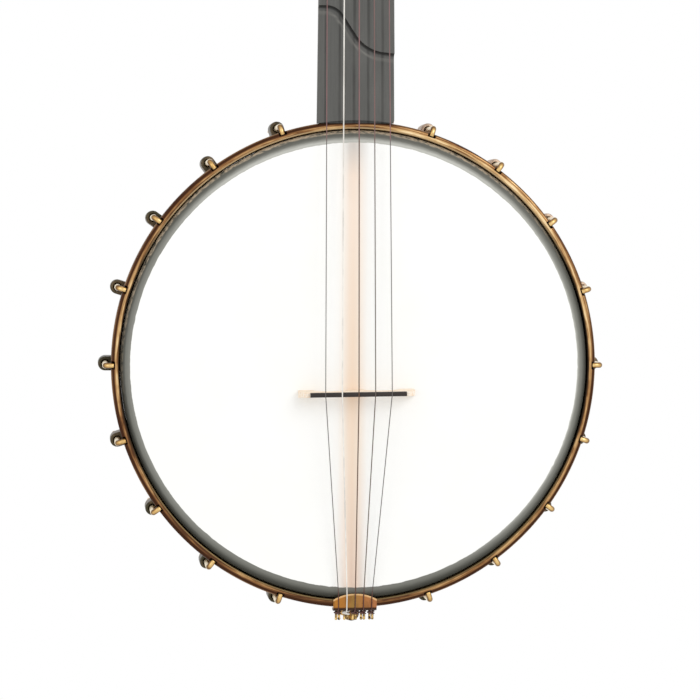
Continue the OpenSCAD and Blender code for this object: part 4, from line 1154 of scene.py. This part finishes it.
class BANJO_OT_hooks(bpy.types.Operator):
    """Eighteen hooks with their nuts, shoes and screws"""

    bl_idname = "banjo.hooks"
    bl_label = "Hooks and shoes"

    def execute(self, context):
        self.hook()
        self.nut()
        self.shoe()
        self.screw()
        return {"FINISHED"}

    def hook(self):
        """A hook of wire: threaded end, shank, bend and bar."""
        hook, pot = sizes("hook"), sizes("pot")
        wire, shank = hook.wire / 2, shank_radius()
        bar, tip = hook.front - wire, pot.hoop_radius - hook.reach
        bend_at = bar - hook.bend
        turns, groove, taper = 12, 0.35 * MM, 0.7 * MM
        thinned, steps = 0.13, 9        # the wire is a little thinner round its bend
        start = hook.back + 0.4 * MM
        pitch = (hook.nut_back - hook.back) / turns
        points = [(shank, hook.back, wire - taper)]
        for i in range(turns):
            points += [(shank, start + pitch * (i + 0.25), wire),
                       (shank, start + pitch * (i + 0.75), wire - groove)]
        points += [(shank, height, wire) for height in (hook.nut_front, hook.shoe_front, bend_at)]
        for i in range(1, steps + 1):
            turn = math.pi / 2 * i / steps
            points.append((shank - hook.bend * (1 - math.cos(turn)),
                           bend_at + hook.bend * math.sin(turn),
                           wire * (1 - thinned * math.sin(turn))))
        points += [(tip + 0.35 * MM, bar, 0.92 * wire), (tip, bar, 0.8 * wire)]
        rings = tube_rings([(0, up, height) for up, height, _ in points],
                           [radius for *_, radius in points], sides=18)
        rings = [[POT @ point for point in ring] for ring in rings]
        round_the_pot(loft("hook", rings), "round_hooks", "round_brass", "hooks",
                      slot="hook_brass")

    def nut(self):
        """A six-sided nut with its corners turned off, on a round flange."""
        hook = sizes("hook")
        on_shank, bore = shank_frame(), hook.wire / 2 + CLEAR
        back, seat, front = hook.nut_back, hook.nut_front - hook.nut_flange, hook.nut_front
        flat, corner = hook.nut_width / 2, hook.nut_width / 2 / math.cos(math.pi / 6)
        edge, trim = 0.7 * MM, 0.97
        body = turned("nut_body", [(bore, back), (flat * trim, back), (corner, back + edge),
                                   (corner, seat - edge), (flat * trim, seat), (bore, seat)],
                      on_shank @ Matrix.Rotation(math.pi / 6, 4, "Z"), sides=6, closed=True)
        rim = rounded(bore, corner + 0.3 * MM, seat, front, 0.35 * MM)
        flange = turned("nut_flange", rim, on_shank, sides=32, closed=True)
        round_the_pot(joined("nut", body, flange), "hook_nuts_turned", "hook_brass",
                      "hook_nuts", twist=math.pi, seed=4)

    def shoe(self):
        """A shoe: a round front that carries the hook, on a body curved to the rim."""
        hook, pot = sizes("hook"), sizes("pot")
        half, shank = hook.shoe_width / 2, shank_radius()
        back, front = hook.shoe_back, hook.shoe_front
        seat = pot.rim_radius + CLEAR
        soft, draw_in = 0.06, 0.8 * MM      # the ends' rounding: its share and its depth
        deep = 3.6 * MM                     # depth of the screw's hole
        rings = []
        for share in (0, 0.02, soft, 0.2, 0.5, 0.8, 1 - soft, 0.98, 1):
            near = max(0.0, 1 - min(share, 1 - share) / soft)
            wide = half - draw_in * (1 - math.sqrt(max(0.0, 1 - near ** 2)))
            foot = math.sqrt(seat * seat - wide * wide)
            outline = [(-wide, foot), (-wide, shank)] + arc((0, shank), wide, 165, 15, 10)
            outline += [(wide, shank), (wide, foot)]
            outline += [(wide * s, math.sqrt(seat * seat - (wide * s) ** 2))
                        for s in (0.5, 0, -0.5)]
            rings.append([POT @ Vector((x, y, lerp(back, front, share))) for x, y in outline])
        bore = rod(shank_frame(), hook.shoe_bore / 2, back - MM, front + MM, sides=32)
        hole = rod(screw_frame(0, -90), hook.screw_wire / 2 + CLEAR, pot.rim_radius - MM,
                   pot.rim_radius + deep, sides=24)
        shoe = softened(carved(loft("shoe", rings), bore, hole), 0.3 * MM, limit=50)
        round_the_pot(shoe, "hook_shoes", "shoe_brass", "shoes")

    def screw(self):
        """A screw through the rim, with a domed and slotted head inside."""
        hook, pot = sizes("hook"), sizes("pot")
        head, across, wire = hook.screw_high, hook.screw_head / 2, hook.screw_wire / 2
        sunk, bite = 0.45 * MM, 3.2 * MM    # into the rim and into the shoe
        reach = pot.rim_wall + bite
        profile = [(0, head)]
        profile += [(across * math.sin(math.radians(a)), head * math.cos(math.radians(a)))
                    for a in range(15, 91, 15)]
        profile += [(wire, 0), (wire, -reach), (0, -reach)]
        inward = screw_frame(pot.rim_radius - pot.rim_wall - sunk, 90)
        slot = block(inward, across + MM, hook.screw_slot / 2, 0.45 * head, head + MM)
        screw = carved(turned("screw", profile, inward, sides=24), slot)
        round_the_pot(screw, "shoe_screws_slotted", "shoe_brass", "shoe_screws")


class BANJO_OT_rim(bpy.types.Operator):
    """Wooden rim, dowel stick and their brass"""

    bl_idname = "banjo.rim"
    bl_label = "Rim and dowel stick"

    def execute(self, context):
        edge = sizes("pot").rim_edge
        finished("rim", "rim_wood", edge)
        finished("dowel_stick", "dowel_wood", 1.2 * edge)
        finished("neck_brace", "hook_brass", 0.8 * edge)
        finished("brace_screw", "hook_brass", 0.6 * edge)
        finished("end_bolt", "hook_brass", edge)
        finished("tail_bracket", "hook_brass", 1.2 * edge)
        for node in ("tail_bolt", "tail_bolt_nut"):
            finished(node, "bolt_brass", 0.8 * edge, slot="hook_brass")
        return {"FINISHED"}


class BANJO_OT_tailpiece(bpy.types.Operator):
    """Bent brass tailpiece with its prongs"""

    bl_idname = "banjo.tailpiece"
    bl_label = "Tailpiece"

    def execute(self, context):
        finished("tailpiece", "tail_brass", 0.25 * MM, slot="aged_brass")
        return {"FINISHED"}


class BANJO_OT_bridge(bpy.types.Operator):
    """Maple bridge with its dark cap"""

    bl_idname = "banjo.bridge"
    bl_label = "Bridge"

    def execute(self, context):
        finished("bridge", "bridge_wood", 0.3 * MM, segments=3)
        finished("bridge_cap", "ebony", 0.2 * MM)
        return {"FINISHED"}


# ---- the neck


def height_on(line, x):
    """Height of a line of points at x."""
    for (x0, y0), (x1, y1) in zip(line, line[1:]):
        if x0 <= x <= x1:
            return lerp(y0, y1, (x - x0) / max(x1 - x0, 1e-9))
    return line[-1][1]


def off_line(line, x, y):
    """Distance of a point from a line of points."""
    best = 1.0
    for (x0, y0), (x1, y1) in zip(line, line[1:]):
        run = (x1 - x0) ** 2 + (y1 - y0) ** 2
        share = ((x - x0) * (x1 - x0) + (y - y0) * (y1 - y0)) / run if run else 0
        share = min(max(share, 0), 1)
        best = min(best, math.hypot(x - lerp(x0, x1, share), y - lerp(y0, y1, share)))
    return best


class BANJO_OT_fingerboard(bpy.types.Operator):
    """Fretless board with its scooped end, and the nuts"""

    bl_idname = "banjo.fingerboard"
    bl_label = "Fingerboard"

    near_edge = (0, 0.12, 0.35, 0.7, 1.2, 1.9, 2.8, 3.8, 5.2, 7)   # mm below the scoop's edge
    columns = 56

    def execute(self, context):
        neck, edge = Neck(), self.scoop_edge()
        # rows run across the board; one of them is the scoop's edge itself
        rows = [("low", share) for share in (0, 0.004, 0.01, 0.018, 0.028)]
        rows += [("low", i / 22) for i in range(1, 22)]
        rows += [("edge", -step * MM) for step in reversed(self.near_edge)]
        rows += [("high", i / 40) for i in range(1, 41)]
        board = loft("scooped_board", [self.row(neck, edge, *row) for row in rows])
        self.mark_scoop(board, neck, edge)
        dress(board, "fingerboard", "fingerboard", sharp=32)
        finished("nut", "bone", 0.3 * MM)
        finished("fifth_nut", "bone", 0.15 * MM)
        return {"FINISHED"}

    def scoop_edge(self):
        """The scoop's edge from the bass side: bend, straight stretch, bend and gentle slope."""
        size = sizes("neck")
        bend, steep, last = size.scoop_angle, size.scoop_straight, size.scoop_last
        outer, inner = size.scoop_bend_bass, size.scoop_bend_treble
        over, level, top = 5 * MM, 6 * MM, size.scoop_bass
        start = level - size.bass_pot
        points = [(-size.bass_pot - over, top)]
        points += [(start + outer * math.sin(bend * i / 12),
                    top - outer * (1 - math.cos(bend * i / 12))) for i in range(13)]
        x, y = points[-1][0] + steep * math.cos(bend), points[-1][1] - steep * math.sin(bend)
        centre = (x + inner * math.sin(bend), y + inner * math.cos(bend))
        points += [(centre[0] - inner * math.sin(turn), centre[1] - inner * math.cos(turn))
                   for turn in (lerp(bend, last, i / 14) for i in range(15))]
        end = size.treble_pot + over
        return points + [(end, points[-1][1] - (end - points[-1][0]) * math.tan(last))]

    def row(self, neck, edge, kind, value):
        """A ring of points across the board."""
        size = neck.size
        base, tuck = CLEAR - size.board, size.board_edge
        side = neck.treble(0) - size.corner
        top = []
        for i in range(self.columns + 1):
            y = 60 * MM     # a first guess, because x and y follow from one another
            for _ in range(3):
                x = lerp(neck.bass(y), neck.treble(y), i / self.columns)
                crest = height_on(edge, x)
                if kind == "low":
                    y = lerp(neck.foot(x), crest - self.near_edge[-1] * MM, value)
                elif kind == "edge":
                    y = crest + value
                else:
                    y = lerp(crest, neck.board_long, value)
            x = lerp(neck.bass(y), neck.treble(y), i / self.columns)
            if x > side:
                rise = min(max(0.0, size.corner - (y - neck.foot(x))), size.corner)
                x = min(x, side + math.sqrt(size.corner ** 2 - rise ** 2))
            z = 0.0
            if kind == "low" or kind == "edge" and value < 0:
                share = min(off_line(edge, x, y) / size.scoop_cove, 1)
                z = -size.scoop_depth * math.sqrt(max(0.0, 1 - (1 - share) ** 2))
            top.append((x, y, z))
        (x0, y0, z0), (x1, y1, z1) = top[0], top[-1]
        ring = [(x, y, base) for x, y, _ in reversed(top)]
        ring += [(x0, y0, z0 - tuck), (x0 + 0.3 * tuck, y0, z0 - 0.3 * tuck), (x0 + tuck, y0, z0)]
        ring += top[1:-1]
        ring += [(x1 - tuck, y1, z1), (x1 - 0.3 * tuck, y1, z1 - 0.3 * tuck), (x1, y1, z1 - tuck)]
        return [neck.board @ Vector(point) for point in ring]

    def mark_scoop(self, board, neck, edge):
        """Marks the painted shadow at the foot of the scoop's wall, and below nought a painted
        highlight a little below it.
        """
        highlight_at, highlight_wide = 4.4 * MM, 1.4 * MM
        foot, fade = 0.9 * MM, 1.5 * MM
        inverse = neck.board.inverted()
        shade = board.data.attributes.new("scoop", "FLOAT", "POINT")
        for point, value in zip(board.data.vertices, shade.data):
            x, y, z = inverse @ point.co
            scooped = z < -0.01 * MM and y < height_on(edge, x)
            off = off_line(edge, x, y) if scooped else 1.0
            line = max(0.0, 1 - abs(off - highlight_at) / highlight_wide)
            value.value = max(0.0, 1 - max(0.0, off - foot) / fade) - line


class BANJO_OT_neck(bpy.types.Operator):
    """Carved neck with its heel, and the peghead"""

    bl_idname = "banjo.neck"
    bl_label = "Neck and peghead"

    def execute(self, context):
        finished("neck", "neck_wood", 0, sharp=30)
        finished("heel_cap", "ebony", 0.5 * MM)
        facing = Vector(joint_of("tuner_1_post_turn")["axis"])
        for node, finish, width in (("peghead", "neck_wood", 0.8 * MM),
                                    ("peghead_overlay", "fingerboard", 0.4 * MM)):
            outline = flowing(refined(node, 0), facing, 3 * MM)
            dress(softened(outline, width), finish, node)
        return {"FINISHED"}


# ---- strings and tuners


class BANJO_OT_strings(bpy.types.Operator):
    """Five strings from the prongs to the posts"""

    bl_idname = "banjo.strings"
    bl_label = "Strings"

    finishes = ("string_grey", "string_brown", "string_red", "string_white", "string_grey")

    def execute(self, context):
        for number, finish in enumerate(self.finishes, 1):
            finished(f"string_{number}", finish, 0, sharp=80)
            self.loop(number, finish)
            if number < 5:
                self.coil(number, finish, f"winding_{number}", f"tuner_{number}_post_turn", 0)
            else:
                self.coil(number, finish, "fifth_winding", "fifth_peg_post_turn", 2)
        return {"FINISHED"}

    def coil(self, number, finish, node, joint, across):
        """Turns of a string where the CAD has its winding, with a frame axis across the post."""
        string, steps = sizes("string"), 30
        apart = 0.49        # radius of the wire for its pitch, so that turns don't touch
        # the fifth string is as thin as the first
        thick = lerp(string.thin, string.thick, (number - 1) % 4 / 3)
        turns = int(string.wound / thick + 0.01) - 1
        along = Vector(joint_of(joint)["axis"])
        middle = (Vector(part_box(node)[0]) + Vector(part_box(node)[1])) / 2
        post = Matrix.Translation(middle) @ along.to_track_quat("Z", "Y").to_matrix().to_4x4()
        radius = (high(node, across) - low(node, across) - thick) / 2
        points = [post @ polar(radius, TAU * i / steps, thick * (i / steps - turns / 2))
                  for i in range(turns * steps + 1)]
        rings = tube_rings(points, [apart * thick] * len(points), sides=10)
        dress(loft(f"wound_string_{number}", rings), finish, node,
              body=joint_of(joint)["child"], sharp=80)

    def loop(self, number, finish):
        """A string's end, looped twice round its pair of prongs."""
        string = sizes("string")
        wire = (string.thick if number == 4 else string.thin) / 2 + 0.1 * MM
        centre = Vector(((3 - number) * string.tail_space,
                         -sizes("pot").hoop_radius - string.loop_out, string.loop_high))
        section = arc((string.loop_wide, 0), wire, 0, 315, 7)
        flat = 0.62         # a loop's depth for its width
        turns = []
        for share, lean in ((1.1, 8), (-1.1, -10)):
            laid = (POT @ Matrix.Translation(centre + Vector((0, share * wire, 0)))
                    @ Matrix.Rotation(math.radians(90), 4, "X")
                    @ Matrix.Rotation(math.radians(lean), 4, "Y")
                    @ Matrix.Diagonal((1, flat, 1, 1)))
            turns.append(turned("loop", section, laid, sides=20, closed=True))
        dress(joined(f"string_{number}_loop", *turns), finish)


class BANJO_OT_tuners(bpy.types.Operator):
    """Four tuners and the fifth peg"""

    bl_idname = "banjo.tuners"
    bl_label = "Tuners"

    def execute(self, context):
        size = sizes("tuner")
        finished("tuner_housings", "tuner_metal", size.housing_edge)
        finished("tuner_collars", "hook_brass", size.metal_edge)
        finished("fifth_peg_body", "tuner_metal", size.metal_edge)
        pegs = [(f"post_{n}", f"button_{n}", f"button_screw_{n}", f"tuner_{n}")
                for n in range(1, 5)]
        pegs.append(("fifth_post", "fifth_button", "fifth_button_screw", "fifth_peg"))
        for post, button, screw, peg in pegs:
            finished(post, "tuner_metal", 0, body=peg + "_post")
            finished(button, "button_ivory", size.button_edge, segments=3,
                     body=peg + "_button")
            finished(screw, "tuner_metal", size.metal_edge, body=peg + "_button")
        return {"FINISHED"}


# ---- the stage


class BANJO_OT_stage(bpy.types.Operator):
    """Pale floor, soft lamps and the camera"""

    bl_idname = "banjo.stage"
    bl_label = "Stage"

    film = 36                           # width of the camera's film, mm
    nearest, farthest = 0.01, 50.0      # what the camera sees lies between these
    aim = Vector((0, 0, 0.05))          # where the lamps point
    floor_radius = 2.0

    def execute(self, context):
        stage, scene = sizes("stage"), context.scene
        self.world(scene, stage)
        self.floor(stage)
        self.lamp("key", place=(1.1, -1.7, 1.0), size=1.1, power=stage.key_power,
                  colour=(1.0, 0.985, 0.96))
        self.lamp("fill", place=(-1.5, -1.6, 0.3), size=1.4, power=stage.fill_power,
                  colour=(0.97, 0.985, 1.0))
        lens = bpy.data.cameras.new("camera")
        lens.lens, lens.sensor_width = stage.lens, self.film
        lens.clip_start, lens.clip_end = self.nearest, self.farthest
        camera = bpy.data.objects.new("camera", lens)
        scene.collection.objects.link(camera)
        level = math.cos(stage.pitch)
        ahead = Vector((math.sin(stage.yaw) * level, math.cos(stage.yaw) * level,
                        math.sin(stage.pitch)))
        facing = ahead.to_track_quat("-Z", "Y").to_matrix().to_4x4()
        camera.matrix_world = (Matrix.Translation(stage.camera_at) @ facing
                               @ Matrix.Rotation(stage.roll, 4, "Z"))
        scene.camera = camera
        scene.view_settings.view_transform = "Standard"
        return {"FINISHED"}

    def world(self, scene, stage):
        """White to the eye and in reflections, and softer as a light."""
        scene.world = bpy.data.worlds.new("studio")
        scene.world.use_nodes = True
        graph = Graph(scene.world.node_tree)
        path = graph.add("ShaderNodeLightPath").outputs
        seen = graph.math("MAXIMUM", path["Is Camera Ray"], graph.math(
            "MAXIMUM", path["Is Glossy Ray"], path["Is Transmission Ray"]))
        soft, white = (graph.add("ShaderNodeBackground", {"Color": (1, 1, 1, 1),
                                                          "Strength": strength})
                       for strength in (stage.ambient, 1.0))
        both = graph.add("ShaderNodeMixShader", {0: seen, 1: soft, 2: white})
        graph.add("ShaderNodeOutputWorld", {"Surface": both})

    def floor(self, stage):
        """A pale round floor that fades out to its edge, and is clear from below."""
        down = Matrix.Translation((0, 0, -stage.floor_down))
        reach = self.floor_radius
        floor = turned("floor", [(0, 0), (reach / 2, 0), (reach, 0)], down, sides=48)
        material = bpy.data.materials.new("floor")
        material.use_nodes = True
        graph = Graph(material.node_tree)
        x, y, _ = graph.parts(graph.place())
        pale = graph.add("ShaderNodeBsdfDiffuse", {"Color": (0.95, 0.95, 0.95, 1)})
        clear = graph.add("ShaderNodeBsdfTransparent")
        under = graph.add("ShaderNodeNewGeometry").outputs["Backfacing"]
        far = graph.ease(graph.far(x, y), 0.25 * reach, 0.95 * reach)
        fade = graph.math("MAXIMUM", far, under)
        both = graph.add("ShaderNodeMixShader", {0: fade, 1: pale, 2: clear})
        graph.add("ShaderNodeOutputMaterial", {"Surface": both})
        floor.data.materials.append(material)

    def lamp(self, name, place, size, power, colour):
        """A square lamp that faces the pot."""
        data = bpy.data.lights.new(name, "AREA")
        data.energy, data.size, data.color = power, size, colour
        lamp = bpy.data.objects.new(name, data)
        lamp.location = place
        facing = self.aim - Vector(place)
        lamp.rotation_euler = facing.to_track_quat("-Z", "Y").to_euler()
        bpy.context.scene.collection.objects.link(lamp)


# ---- panel and main


STEPS = (BANJO_OT_finishes, BANJO_OT_stage, BANJO_OT_head, BANJO_OT_hoops, BANJO_OT_hooks,
         BANJO_OT_rim, BANJO_OT_tailpiece, BANJO_OT_bridge, BANJO_OT_fingerboard,
         BANJO_OT_neck, BANJO_OT_strings, BANJO_OT_tuners)


class BANJO_PT_panel(bpy.types.Panel):
    """Sizes, colours and pieces of the banjo"""

    bl_idname = "BANJO_PT_panel"
    bl_label = "Banjo"
    bl_space_type = "VIEW_3D"
    bl_region_type = "UI"
    bl_category = "Banjo"

    def draw(self, context):
        for step in STEPS:
            self.layout.operator(step.bl_idname)
        for group, kind in GROUPS.items():
            box = self.layout.box()
            box.label(text=kind.__doc__)
            values = sizes(group)
            for name in kind.__annotations__:
                box.prop(values, name)


def register():
    for kind in (*GROUPS.values(), *STEPS, BANJO_PT_panel):
        bpy.utils.register_class(kind)
    for group, kind in GROUPS.items():
        setattr(bpy.types.Scene, "banjo_" + group, PointerProperty(type=kind))


def unregister():
    for group in GROUPS:
        delattr(bpy.types.Scene, "banjo_" + group)
    for kind in reversed((*GROUPS.values(), *STEPS, BANJO_PT_panel)):
        bpy.utils.unregister_class(kind)


def main():
    register()
    for step in STEPS:
        group, name = step.bl_idname.split(".")
        getattr(getattr(bpy.ops, group), name)()


if __name__ == "__main__":
    main()
